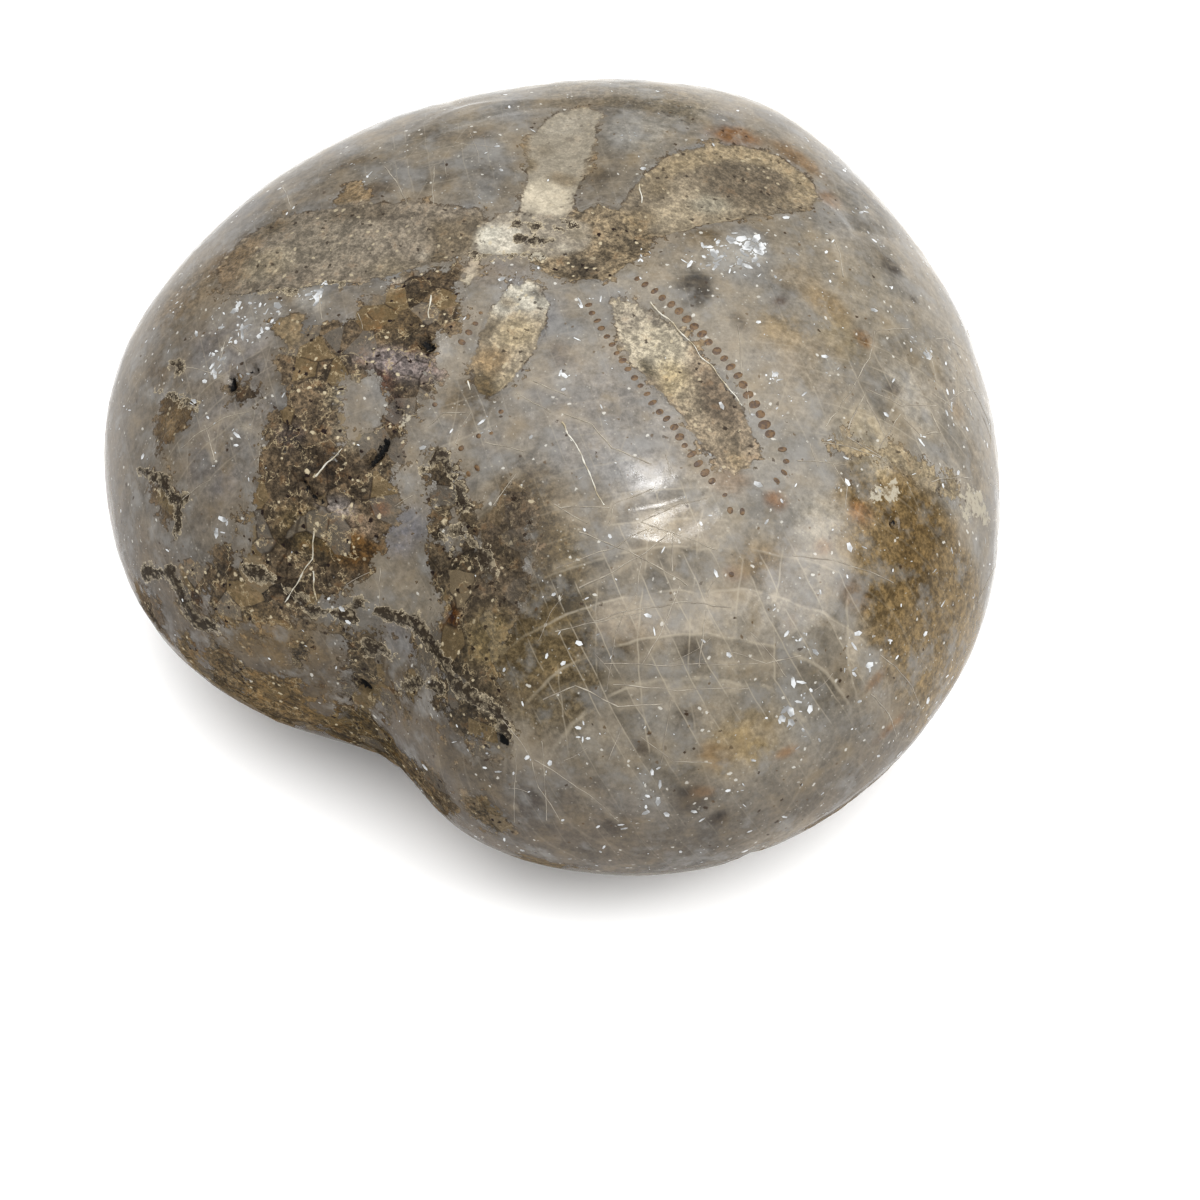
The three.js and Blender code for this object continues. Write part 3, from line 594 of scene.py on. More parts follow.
# Cracks: healed with cream calcite, seen as fine pale lines
crackSettings = {
    "seed": 11,
    "mainCracks": [
        [(11.6, -22.8), (14.2, -20.9), (16.8, -19.2), (19.6, -18.0)],
        [(9.4, -24.2), (12.4, -22.4), (14.6, -21.0)],
        [(13.2, -24.7), (16.4, -23.4), (19.4, -21.8), (22.4, -19.9)],
        [(14.2, -25.4), (18.2, -24.0), (22.4, -21.4)],
        [(10.0, -27.7), (11.8, -26.4), (14.8, -26.3), (17.6, -25.0)],
        [(16.8, -27.0), (19.2, -27.0), (21.6, -25.8)], [(12.1, -15.9), (13.6, -14.0), (15.6, -12.2)],
        [(12.1, -15.9), (14.8, -15.6), (17.4, -15.2)], [(14.4, -15.8), (15.2, -17.9)],
        [(13.1, -17.9), (13.6, -20.2), (13.2, -22.8), (13.9, -25.8)],
        [(8.6, -18.1), (12.0, -18.0), (16.5, -18.2)],
        [(10.0, -21.4), (11.6, -19.6), (13.2, -17.6), (14.1, -15.9)],
        [(10.2, -17.2), (10.0, -15.4), (12.0, -13.4)], [(6.6, -17.0), (9.8, -15.8)],
        [(9.0, -30.0), (9.6, -32.0)], [(4.3, -10.7), (6.4, -10.8), (8.3, -11.9), (11.2, -11.9)],
        [(10.4, -30.2), (13.6, -30.3), (16.6, -30.2)], [(22.0, -12.8), (24.8, -11.2), (28.4, -9.6)],
        [(8.0, -20.8), (11.4, -17.9), (12.6, -16.2)],
        [(7.6, -29.2), (10.2, -30.2), (11.0, -31.0), (12.8, -31.4)], [(10.6, -29.4), (11.9, -31.6)],
        [(18.0, -24.6), (18.5, -27.4)], [(16.1, -18.5), (16.0, -21.6), (15.5, -23.8)],
        [(19.0, -22.2), (18.2, -19.0)], [(20.6, -3.1), (21.0, 0.4), (21.1, 4.4), (20.6, 6.9), (22.4, 9.6)],
        [(21.9, -2.2), (21.9, 1.6)], [(22.0, 1.7), (24.3, 2.3), (26.2, 4.8)], [(22.2, 0.8), (24.3, -0.8)],
        [(24.5, 1.6), (24.3, -2.0)], [(26.2, 3.8), (27.2, 3.0), (26.2, 1.4), (24.8, 1.6)],
        [(12.3, 1.2), (13.1, -0.4), (14.1, -2.5)], [(14.7, -3.2), (15.7, -5.1)],
        [(17.0, 10.0), (16.0, 12.0), (14.9, 13.4)], [(25.9, 10.2), (27.2, 7.0)], [(24.2, 9.0), (25.6, 6.6)],
        [(20.8, -4.4), (22.6, -3.4), (24.6, -2.6)], [(22.1, -2.8), (24.6, -2.5)],
        [(28.0, -1.2), (29.0, 0.6), (30.0, 2.4)], [(19.8, -6.6), (22.8, -4.8)], [(20.2, -4.9), (21.2, -6.2)],
        [(22.0, -5.3), (23.4, -6.2), (23.9, -7.6)], [(25.6, 5.6), (27.0, 6.0)],
        [(29.2, -13.9), (32.2, -12.6)], [(29.4, -16.0), (31.4, -15.2)],
        [(24.8, -17.8), (22.9, -19.6), (20.2, -20.4)], [(17.9, -17.0), (18.0, -18.2)],
        [(-23.8, -13.5), (-21.2, -14.0), (-20.2, -14.3)], [(-21.5, -11.2), (-21.2, -13.4)],
        [(-21.0, -11.6), (-19.8, -12.3)], [(-24.8, 4.3), (-23.4, 2.4), (-22.4, 1.0)],
        [(-17.2, 6.2), (-15.6, 4.6), (-13.8, 2.7)], [(-13.5, 6.8), (-12.4, 4.2), (-11.8, 2.9)],
        [(-16.1, -7.0), (-14.9, -9.0)], [(-12.6, -7.9), (-11.8, -9.0)],
        [(-4.4, -14.4), (-3.7, -13.2), (-1.9, -12.6), (-2.1, -14.8)], [(-4.6, -19.6), (-3.6, -18.6)],
        [(-4.3, -22.8), (-3.8, -24.4)], [(-6.4, -24.2), (-5.0, -23.2)], [(-20.0, -22.0), (-18.2, -20.9)],
        [(-21.6, -19.0), (-19.0, -17.1), (-17.2, -16.4)], [(-20.2, -17.6), (-18.4, -19.8)],
        [(0.6, -10.4), (3.4, -11.0)], [(-17.4, -17.4), (-15.6, -17.8), (-14.8, -20.2)],
        [(0.0, -14.2), (2.8, -14.2)], [(1.2, -9.0), (3.8, -9.4)], [(2.9, -15.8), (2.2, -18.0)],
        [(6.2, -16.9), (8.8, -17.4)], [(11.8, -10.8), (12.6, -12.0)],
    ],
    "threads": [  # thicker cream veins, and one painted highlight: the glare streak from (4.4, -11.4) to (9.4, -15.8), laid on as a white vein
        [(-10.7, -19.7), (-10.5, -19.2), (-9.9, -18.4), (-9.3, -17.5)],
        [(-9.4, -22.4), (-9.2, -23.8), (-9.6, -24.6), (-10.3, -25.9)],
        [(-8.4, -4.9), (-8.0, -5.8), (-7.6, -6.8)],
        [(6.1, 0.3), (8.4, -0.8), (10.6, -2.1), (12.7, -3.2), (15.1, -4.8)],
        # painted highlight: the first route on this line is a glare streak, laid on as a white vein
        [(4.4, -11.4), (6.6, -13.2), (9.4, -15.8)], [(-8.9, -24.2), (-8.1, -25.3)],
        [(1.1, 10.6), (1.8, 8.8)], [(-2.9, -10.4), (-2.6, -11.0)],
    ],
    "scatter": [  # centre of a crackled stretch, its radius, number of short cracks, their usual direction
        ((15.5, -24.5), 8.5, 4, 33), ((24.5, -17.5), 7.5, 3, 55), ((27.5, 10.0), 6.0, 2, 70),
        ((-14.0, 9.0), 9.0, 3, -50), ((10.5, -29.5), 5.0, 2, 80),
    ],
    "spread": 0.038,  # half width of a crack's vein
    "threadSpread": 0.065,
    "hiddenCracks": 45,
    "crackled": [  # x, y, radius, strength: where the calcite is parted into plates
        (15.5, -23.5, 9.5, 1.0), (24.0, -17.5, 8.0, 0.9), (14.0, -16.0, 5.0, 0.8), (25.0, 2.0, 8.0, 0.7),
        (-20.5, -16.0, 7.5, 0.45), (-21.0, -10.5, 5.0, 0.35), (-15.0, 8.0, 7.0, 0.4), (27.0, 10.0, 5.0, 0.5),
        (6.5, -12.0, 4.0, 0.4), (19.0, -2.0, 4.0, 0.4), (-2.0, -13.5, 3.0, 0.5), (8.0, 31.0, 9.0, 0.6),
        (-16.0, 25.0, 9.0, 0.5), (26.0, 18.0, 7.0, 0.6), (-32.0, 8.0, 8.0, 0.5),
    ],
}


crackle = np.full(len(points), 0.22)
for x, y, radius, strength in crackSettings["crackled"]:
    away = np.linalg.norm(points - np.array(onStone(x, y)), axis=1)
    crackle = np.maximum(crackle, strength * (1 - eased(away, 0.55 * radius, 1.1 * radius)))


def scatterCracks():
    pick = np.random.default_rng(crackSettings["seed"])
    routes = []
    for (cx, cy), radius, count, turn in crackSettings["scatter"]:
        for i in range(count):
            away = radius * math.sqrt(pick.random())
            bearing = pick.random() * 2 * math.pi
            x, y = cx + away * math.cos(bearing), cy + away * math.sin(bearing)
            crossing = pick.normal(0, 10) + (pick.choice((55, 90, -60)) if i % 3 == 0 else 0)
            heading = math.radians(turn + crossing)
            length = pick.uniform(1.2, 4.5)
            bend = pick.normal(0, 0.12)
            places = [(x, y)]
            for _ in range(3):
                x, y = x + length / 3 * math.cos(heading), y + length / 3 * math.sin(heading)
                places.append((x, y))
                heading += bend
            routes.append(layRoute(places, 0.25))
    hidden = np.flatnonzero((points[:, 2] < 22) & ((points[:, 1] > -8) | (points[:, 2] < 10)))
    for start in pick.choice(hidden, crackSettings["hiddenCracks"], replace=False):
        at = Vector(points[start])
        heading = Vector(pick.normal(size=3)).cross(Vector(normals[start])).normalized()
        route = []
        for _ in range(int(pick.integers(8, 26))):
            at, facing = stoneTree.find_nearest(at + heading * 0.35)[:2]
            heading = heading + Vector(pick.normal(0, 0.07, 3))
            heading = (heading - facing * heading.dot(facing)).normalized()
            route.append(np.array(at))
        routes.append(np.array(route))
    return routes


def stoneRelief():  # small heights on the polished form, in mm
    height = 0.05 * swell[5] + 0.015 * swell[1.1]
    petalShare = eased(np.max(petalInsides, axis=0), -0.3, 0.7)
    height -= petalSettings["relief"] * petalShare
    height += 0.03 * petalShare * swell[1.1]
    rough = eased(fillEdge, -0.2, 0.8) * (1 - petalShare) * grain
    height += rough * weatheredSettings["relief"] * (0.5 * swell[2.2] + 0.45 * swell[1.1] - 0.15)
    height += 0.12 * eased(crustEdge, -0.1, 0.2)
    height += 0.08 * eased(chipEdge, -0.1, 0.25)
    height -= hollowSettings["depth"] * eased(hollowEdge, -0.3, 0.15)
    return height


mainRoutes = [layRoute(c, 0.25) for c in crackSettings["mainCracks"]]
crackSpots = kdtree.KDTree(sum(len(route) for route in mainRoutes))
for number, spot in enumerate(np.concatenate(mainRoutes)):
    crackSpots.insert(spot, number)
crackSpots.balance()
nearCrack = np.array([crackSpots.find(p)[2] for p in points])
healed = 1 - eased(nearCrack, 0.05, 0.5)  # the stone is paler beside a healed crack

resting = eased(points[:, 2], 0.02, 0.5)  # the worn flat it stands on stays flat
finished = points + normals * (stoneRelief() * resting)[:, None]
finished[:, 2] = np.maximum(finished[:, 2], 0)


def meshOf(name, corners, faces):
    mesh = bpy.data.meshes.new(name)
    mesh.from_pydata((corners * mm).tolist(), [], faces.tolist())
    mesh.shade_smooth()
    mesh.update()
    piece = bpy.data.objects.new(name, mesh)
    bpy.context.scene.collection.objects.link(piece)
    return piece


def addField(piece, name, values):
    kind, part = ("FLOAT", "value") if values.ndim == 1 else ("FLOAT_VECTOR", "vector")
    field = piece.data.attributes.new(name, kind, "POINT")
    field.data.foreach_set(part, np.ascontiguousarray(values).ravel())


# How thickly the white flecks lie: a thin scatter all over, and clusters
fleckSettings = {
    "perSquareMetre": 4200000,
    "size": 0.28,
    "seed": 4,
    "clusters": [  # x, y, radius, share of the full thickness
        (10.2, 8.2, 1.8, 2.2), (9.4, 6.6, 2.2, 1.2), (8.2, 5.4, 2.0, 0.6), (3.6, 3.9, 0.9, 0.8),
        (12.4, 8.2, 1.0, 0.7), (16.4, 8.5, 0.8, 0.5), (19.2, 1.6, 1.2, 0.7), (16.0, -1.4, 0.7, 0.9),
        (18.4, -2.0, 1.4, 0.4), (-19.6, -10.0, 2.6, 1.0), (-21.4, -13.3, 1.4, 0.9), (-16.6, -7.0, 1.6, 0.8),
        (-22.6, -9.4, 1.6, 0.8), (3.0, -8.2, 1.0, 0.9), (2.0, -1.6, 1.2, 0.4), (2.2, -4.6, 1.4, 0.4),
        (-17.8, 4.6, 0.9, 0.8), (-19.6, 6.0, 0.6, 0.6), (-12.6, 5.6, 0.6, 0.6), (-8.6, 4.6, 1.2, 0.5),
        (-10.4, 10.0, 1.4, 0.3), (24.6, -17.2, 1.3, 0.7), (25.6, -20.2, 1.6, 0.7), (28.4, -15.0, 1.4, 0.5),
        (-0.6, -13.2, 0.9, 0.7), (-17.4, -17.8, 1.1, 0.6), (-16.0, -20.2, 0.9, 0.4),
        (-12.4, -21.2, 0.7, 0.6), (-18.8, -19.6, 0.8, 0.6), (2.3, -17.4, 0.6, 0.6), (14.6, 12.6, 1.6, 0.4),
        (19.2, 12.2, 0.8, 0.6), (15.6, 19.0, 1.6, 0.4), (17.4, 16.0, 0.8, 0.8), (-1.6, 14.8, 1.0, 0.5),
        (0.4, 13.0, 1.0, 0.3), (23.8, 8.8, 1.6, 0.4), (21.4, 6.5, 0.4, 1.0), (26.2, 1.2, 0.7, 0.7),
        (-3.8, -1.6, 1.2, 0.35), (-16.2, -23.4, 1.0, 0.6), (13.4, -28.4, 1.2, 0.5), (18.2, -28.6, 1.4, 0.4),
        (5.2, -18.8, 0.4, 1.0), (9.2, -12.4, 0.4, 1.0), (25.4, -6.8, 1.4, 0.2), (-24.6, -18.9, 0.7, 0.5),
        (-26.0, -12.0, 0.8, 0.4), (7.2, -10.3, 0.4, 0.6),
    ],
}
fleckShare = 0.02 + 0.09 * eased(swell[5], 0.2, 0.7) + 0.02 * eased(points[:, 0], 0, 20)
for x, y, radius, share in fleckSettings["clusters"]:
    away = np.hypot(points[:, 0] - x, points[:, 1] - y)
    fleckShare = np.maximum(fleckShare, share * crown * (1 - eased(away, 0.3 * radius, 1.2 * radius)))
fleckShare *= 1 - 0.85 * eased(fillEdge, -0.1, 0.3)
fleckShare *= 1 - 0.6 * eased(-points[:, 0] + points[:, 1] * 1.4, 22, 38)
fleckShare *= resting

stone = meshOf("urchin_stone", finished, quads)
roughShare = np.minimum(grain, 1) * eased(fillEdge, -0.25, 0.25)
fields = {
    "groundColour": groundColour, "granular": granular, "healed": healed, "crackle": crackle,
    "fillColour": fillColour, "fillEdge": fillEdge, "grain": grain, "broken": broken,
    "roughShare": roughShare, "chipEdge": chipEdge, "hollowEdge": hollowEdge, "crustEdge": crustEdge,
    "fleckShare": fleckShare,
}
for name, values in fields.items():
    addField(stone, name, values)
print("stone: meshed, with its fields")

# Polished calcite: grey and faintly cloudy, parted by healed cracks, with a soft gloss. Granular silt and
# calcite fill the petals and the weathered ground, which stays duller because it doesn't take a polish
stoneLooks = {
    "ior": 1.5,
    "gloss": (0.3, 0.03),  # specular level seen straight on, and at a slant, where fine wear dulls it most
    "tone": 0.465, "tint": (1.015, 0.985, 0.92),  # how dark and how warm every colour is taken
    "veil": 0.016,  # grey taken off every colour, which the reflection of the white room puts back
    "polishedRoughness": 0.17, "granularRoughness": 0.6, "patchyRoughness": 0.07,
    "bumpDepth": 0.16, "polishedBump": 0.035, "granularBump": 0.9,  # mm, then shares of it
    "noises": {  # mm across, octaves, roughness. Grit is near the size of a real grain, 0.1 to 0.2 mm
        "cloud": (4.5, 4.0, 0.55), "smear": (2.3, 5.0, 0.62), "mottle": (0.9, 5.0, 0.66),
        "crumb": (0.45, 3.0, 0.65), "grit": (0.19, 2.0, 0.7),
    },
    "groundTones": {  # how dark and light each noise makes the polished ground
        "cloud": (0.78, 1.2), "smear": (0.8, 1.18), "mottle": (0.84, 1.14), "crumb": (0.9, 1.1),
        "grit": (0.93, 1.07),
    },
    "granularTones": {  # the same for the grains in its stains
        "mottle": (-0.16, 0.13), "crumb": (-0.16, 0.14), "grit": (-0.14, 0.14),
    },
    "groundLayers": [  # noise, where it starts and is full, greatest share, colour
        ("smear", 0.54, 0.7, 0.45, "#95866d"), ("cloud", 0.53, 0.7, 0.35, "#7d746a"),
        ("smear", 0.48, 0.32, 0.5, "#b3b3b4"),
    ],
    "cleavage": [  # degrees the set of lines faces, mm between lines, width, which noise breaks them, where
        (-58, 2.0, 0.055, "smear", 0.4, 0.5), (38, 1.8, 0.045, "smear", 0.58, 0.48),
        (4, 2.9, 0.05, "cloud", 0.46, 0.56),
    ],
    "plateSwing": 0.17, "seam": "#c6bfb2", "healed": "#c4bcae", "haze": "#cfd2d4",
    "groundSpecks": [  # mm apart, reach, how rare, colour, strength
        (0.6, 0.2, 0.95, "#463525", 0.8), (0.45, 0.2, 0.93, "#6a5232", 0.6),
        (0.5, 0.22, 0.93, "#e6e6e4", 0.8), (0.3, 0.2, 0.82, "#c9c6bf", 0.5),
    ],
    "fillSpecks": [(0.55, 0.26, 0.8, "#33261a", 0.9), (0.5, 0.26, 0.85, "#d9cfb9", 0.9)],
    "shardSize": 1.9, "shardSwing": 0.3,
    "fillGrains": [  # noise, from, to, how dark, how light
        ("grit", 0.36, 0.64, 0.7, 1.26), ("crumb", 0.36, 0.64, 0.72, 1.26),
        ("mottle", 0.42, 0.58, 0.76, 1.2), ("smear", 0.4, 0.6, 0.86, 1.12),
    ],
    "edges": [  # how far the grains push each edge, and how far it swerves, in mm
        ("fillEdge", 1.4, 1.5), ("crustEdge", 0.85, 0.95), ("chipEdge", 0.8, 0.4), ("hollowEdge", 0.7, 0.3),
    ],
    "rim": "#4a3d2d", "lip": "#d2c8b4", "crust": "#3f352a", "chip": "#c9c4b8", "hollow": "#150d08",
}


def stoneSources(tree):  # places in mm, noises and the stone's own fields, all by name
    place = addNode(tree, "ShaderNodeTexCoord", out="Object")
    at = {"mm": addNode(tree, "ShaderNodeVectorMath", {0: place, 3: 1 / mm}, operation="SCALE")}
    for name in fields:
        at[name] = addNode(tree, "ShaderNodeAttribute", out="Fac", attribute_name=name)
    for name, (size, detail, rough) in stoneLooks["noises"].items():
        inputs = {"Vector": at["mm"], "Scale": 1 / size, "Detail": detail, "Roughness": rough}
        at[name] = addNode(tree, "ShaderNodeTexNoise", inputs)
    drift = addNode(tree, "ShaderNodeTexNoise", {"Vector": at["mm"], "Scale": 0.3, "Detail": 2.0}, "Color")
    for name, amount in (("warped", 1.6), ("bent", 0.5)):
        at[name] = addNode(tree, "ShaderNodeVectorMath", {0: drift, 1: (amount,) * 3, 2: at["mm"]},
                           operation="MULTIPLY_ADD")
    return at


def painted(tree, base, layers):  # each colour laid over the base by its share
    for share, code in layers:
        base = addNode(tree, "ShaderNodeMix", {0: share, 6: base, 7: (*linear(code), 1)}, 2, data_type="RGBA")
    return base


def speckLayers(tree, at, rows, push, start, end, gate):  # small uneven dots, pushed out of round by the grit
    layers = []
    for size, reach, least, code, strength in rows:
        away = addNode(tree, "ShaderNodeTexVoronoi", {"Vector": at["warped"], "Scale": 1 / size}, "Distance")
        chance = addNode(tree, "ShaderNodeSeparateColor", {0: away.node.outputs["Color"]})
        uneven = addNode(tree, "ShaderNodeMath", {0: at["grit"], 1: push, 2: away}, operation="MULTIPLY_ADD")
        dot = addNode(tree, "ShaderNodeMapRange", {0: uneven, 1: reach + start, 2: reach + end, 3: strength,
                                                   4: 0.0})
        often = addNode(tree, "ShaderNodeMapRange", {0: chance, 1: least, 2: least + 0.02, 4: gate})
        layers.append((addNode(tree, "ShaderNodeMath", {0: dot, 1: often}, operation="MULTIPLY"), code))
    return layers


def cleavage(tree, at):  # sets of near-parallel seams: the tones of the plates between them, and the seams
    tones, seams = [], []
    swing = stoneLooks["plateSwing"]
    for turn, size, width, gate, least, most in stoneLooks["cleavage"]:
        across = (math.cos(math.radians(turn)), math.sin(math.radians(turn)), 0.45)
        run = addNode(tree, "ShaderNodeVectorMath", {0: at["bent"], 1: across}, "Value",
                      operation="DOT_PRODUCT")
        cells = addNode(tree, "ShaderNodeTexVoronoi", {"W": run, "Scale": 1 / size}, "Color",
                        voronoi_dimensions="1D")
        red = addNode(tree, "ShaderNodeSeparateColor", {0: cells})
        plate = addNode(tree, "ShaderNodeMapRange", {0: red, 3: -swing, 4: swing})
        tones.append(addNode(tree, "ShaderNodeMath", {0: plate, 1: at["crackle"], 2: 1.0},
                             operation="MULTIPLY_ADD"))
        gap = addNode(tree, "ShaderNodeTexVoronoi", {"W": run, "Scale": 1 / size}, "Distance",
                      voronoi_dimensions="1D", feature="DISTANCE_TO_EDGE")
        line = addNode(tree, "ShaderNodeMapRange", {0: gap, 1: 0.4 * width / size, 2: 1.6 * width / size,
                                                    3: 0.55, 4: 0.0})
        part = addNode(tree, "ShaderNodeMapRange", {0: at[gate], 1: least, 2: most, 4: at["crackle"]})
        seam = addNode(tree, "ShaderNodeMath", {0: line, 1: part}, operation="MULTIPLY")
        seams.append((seam, stoneLooks["seam"]))
    return tones, seams


def groundPaint(tree, at):  # the polished ground: cloudy, stained, and parted into plates
    tones = []
    for name, (low, high) in stoneLooks["groundTones"].items():
        tones.append(addNode(tree, "ShaderNodeMapRange", {0: at[name], 1: 0.3, 2: 0.7, 3: low, 4: high}))
    for name, (low, high) in stoneLooks["granularTones"].items():
        stepped = addNode(tree, "ShaderNodeMapRange", {0: at[name], 1: 0.38, 2: 0.62, 3: low, 4: high})
        tones.append(addNode(tree, "ShaderNodeMath", {0: stepped, 1: at["granular"], 2: 1.0},
                             operation="MULTIPLY_ADD"))
    plates, seams = cleavage(tree, at)
    ground = at["groundColour"].node.outputs["Color"]
    for tone in tones + plates:
        ground = addNode(tree, "ShaderNodeVectorMath", {0: ground, 3: tone}, operation="SCALE")
    layers = []
    for name, start, full, most, code in stoneLooks["groundLayers"]:
        layers.append((addNode(tree, "ShaderNodeMapRange", {0: at[name], 1: start, 2: full, 4: most}), code))
    layers += speckLayers(tree, at, stoneLooks["groundSpecks"], 0.5, 0.22, 0.3, 1.0)
    haze = addNode(tree, "ShaderNodeMapRange", {0: at["fleckShare"], 1: 0.08, 2: 1.4, 4: 0.6})
    haze = addNode(tree, "ShaderNodeMath", {0: haze, 1: at["mottle"]}, operation="MULTIPLY")
    beside = addNode(tree, "ShaderNodeMapRange", {0: at["smear"], 1: 0.36, 2: 0.56, 3: 0.05, 4: 0.4})
    beside = addNode(tree, "ShaderNodeMath", {0: beside, 1: at["healed"]}, operation="MULTIPLY")
    layers += [(haze, stoneLooks["haze"]), (beside, stoneLooks["healed"])]
    return painted(tree, ground, layers + seams)


def fillPaint(tree, at):  # shards of grey calcite, brown silt and tan grains, with pale or dark gaps
    swing = stoneLooks["shardSwing"]
    inputs = {"Vector": at["bent"], "Scale": 1 / stoneLooks["shardSize"]}
    shards = addNode(tree, "ShaderNodeTexVoronoi", inputs, "Color")
    gap = addNode(tree, "ShaderNodeTexVoronoi", inputs, "Distance", feature="DISTANCE_TO_EDGE")
    shade = addNode(tree, "ShaderNodeSeparateColor", {0: shards}, "Red")
    tone = addNode(tree, "ShaderNodeMapRange", {0: shade, 3: -swing, 4: swing})
    tone = addNode(tree, "ShaderNodeMath", {0: tone, 1: at["broken"], 2: 1.0}, operation="MULTIPLY_ADD")
    grains = 1.0
    for name, low, high, dark, light in stoneLooks["fillGrains"]:
        stepped = addNode(tree, "ShaderNodeMapRange", {0: at[name], 1: low, 2: high, 3: dark, 4: light})
        grains = addNode(tree, "ShaderNodeMath", {0: stepped, 1: grains}, operation="MULTIPLY")
    grains = addNode(tree, "ShaderNodeMath", {0: grains, 1: 1.0}, operation="SUBTRACT")
    grains = addNode(tree, "ShaderNodeMath", {0: grains, 1: at["grain"], 2: 1.0}, operation="MULTIPLY_ADD")
    fill = at["fillColour"].node.outputs["Color"]
    for step in (tone, grains):
        fill = addNode(tree, "ShaderNodeVectorMath", {0: fill, 3: step}, operation="SCALE")
    level = addNode(tree, "ShaderNodeMath", {0: at["smear"], 1: 0.5, 2: 0.009}, operation="COMPARE")
    nearGap = addNode(tree, "ShaderNodeMapRange", {0: gap, 1: 0.012, 2: 0.045, 3: 0.75, 4: 0.0})
    gates = {"broken": at["broken"], "grain": at["grain"]}
    for name, mask in (("level", level), ("nearGap", nearGap)):
        gates[name] = addNode(tree, "ShaderNodeMath", {0: mask, 1: at["broken"]}, operation="MULTIPLY")
    layers = []
    for source, start, full, most, gate, code in (
            (shade.node.outputs["Green"], 0.8, 0.82, 0.5, "broken", "#918c86"),  # shards of grey calcite
            (shade.node.outputs["Blue"], 0.84, 0.86, 0.4, "broken", "#a5926f"),  # shards of tan silt
            (at["mottle"], 0.42, 0.52, 0.85, "level", "#c3b69c"),  # pale lines
            (at["smear"], 0.54, 0.47, 0.8, "nearGap", "#33281c"),  # dark gaps between shards
            (at["mottle"], 0.57, 0.65, 0.25, "grain", "#7c5527")):  # rust
        share = addNode(tree, "ShaderNodeMapRange", {0: source, 1: start, 2: full, 4: most})
        share = addNode(tree, "ShaderNodeMath", {0: share, 1: gates[gate]}, operation="MULTIPLY")
        layers.append((share, code))
    layers += speckLayers(tree, at, stoneLooks["fillSpecks"], 0.6, 0.24, 0.36, at["grain"])
    return painted(tree, fill, layers)


def raggedEdges(tree, at):  # every edge is roughened by the same noises, so that it follows the grains
    ragged = addNode(tree, "ShaderNodeMath", {0: at["mottle"], 1: at["crumb"]}, operation="ADD")
    ragged = addNode(tree, "ShaderNodeMapRange", {0: ragged, 1: 0.6, 2: 1.4, 3: -0.5, 4: 0.5})
    broad = addNode(tree, "ShaderNodeMapRange", {0: at["smear"], 1: 0.3, 2: 0.7, 3: -0.5, 4: 0.5})
    crisp = addNode(tree, "ShaderNodeMapRange", {0: at["broken"], 1: 0.0, 2: 0.3, 3: 0.2, 4: 1.0})
    edgeOf = {}
    for name, wander, swerve in stoneLooks["edges"]:
        wave = addNode(tree, "ShaderNodeMath", {0: broad, 1: swerve}, operation="MULTIPLY")
        wave = addNode(tree, "ShaderNodeMath", {0: ragged, 1: wander, 2: wave}, operation="MULTIPLY_ADD")
        gate = crisp if name == "fillEdge" else 1.0  # petals keep a clean outline
        edgeOf[name] = addNode(tree, "ShaderNodeMath", {0: wave, 1: gate, 2: at[name]},
                               operation="MULTIPLY_ADD")
    return edgeOf


def markLayers(tree, at, edgeOf):  # the dark rim of the fill, crusts with a pale lip, chips and hollows
    rim = addNode(tree, "ShaderNodeMath", {0: edgeOf["fillEdge"]}, operation="ABSOLUTE")
    marks = {"rim": (addNode(tree, "ShaderNodeMapRange", {0: rim, 1: 0.03, 2: 0.13, 3: 0.75, 4: 0.0}),
                     addNode(tree, "ShaderNodeMapRange", {0: at["mottle"], 1: 0.44, 2: 0.54}))}
    for name, edge, start, full, most, source, low, high, dark, light in (
            ("lip", "crustEdge", -0.18, -0.13, 1.0, "mottle", 0.4, 0.5, 0.15, 0.95),
            ("crust", "crustEdge", -0.1, -0.04, 0.95, "crumb", 0.5, 0.66, 1.0, 0.4),
            ("chip", "chipEdge", -0.04, 0.05, 0.95, "crumb", 0.42, 0.54, 0.3, 1.0)):
        share = addNode(tree, "ShaderNodeMapRange", {0: edgeOf[edge], 1: start, 2: full, 4: most})
        part = addNode(tree, "ShaderNodeMapRange", {0: at[source], 1: low, 2: high, 3: dark, 4: light})
        marks[name] = (share, part)
    for name, (share, part) in marks.items():
        marks[name] = addNode(tree, "ShaderNodeMath", {0: share, 1: part}, operation="MULTIPLY")
    marks["hollow"] = addNode(tree, "ShaderNodeMapRange", {0: edgeOf["hollowEdge"], 1: -0.08, 2: 0.06,
                                                           4: 0.97})
    return marks


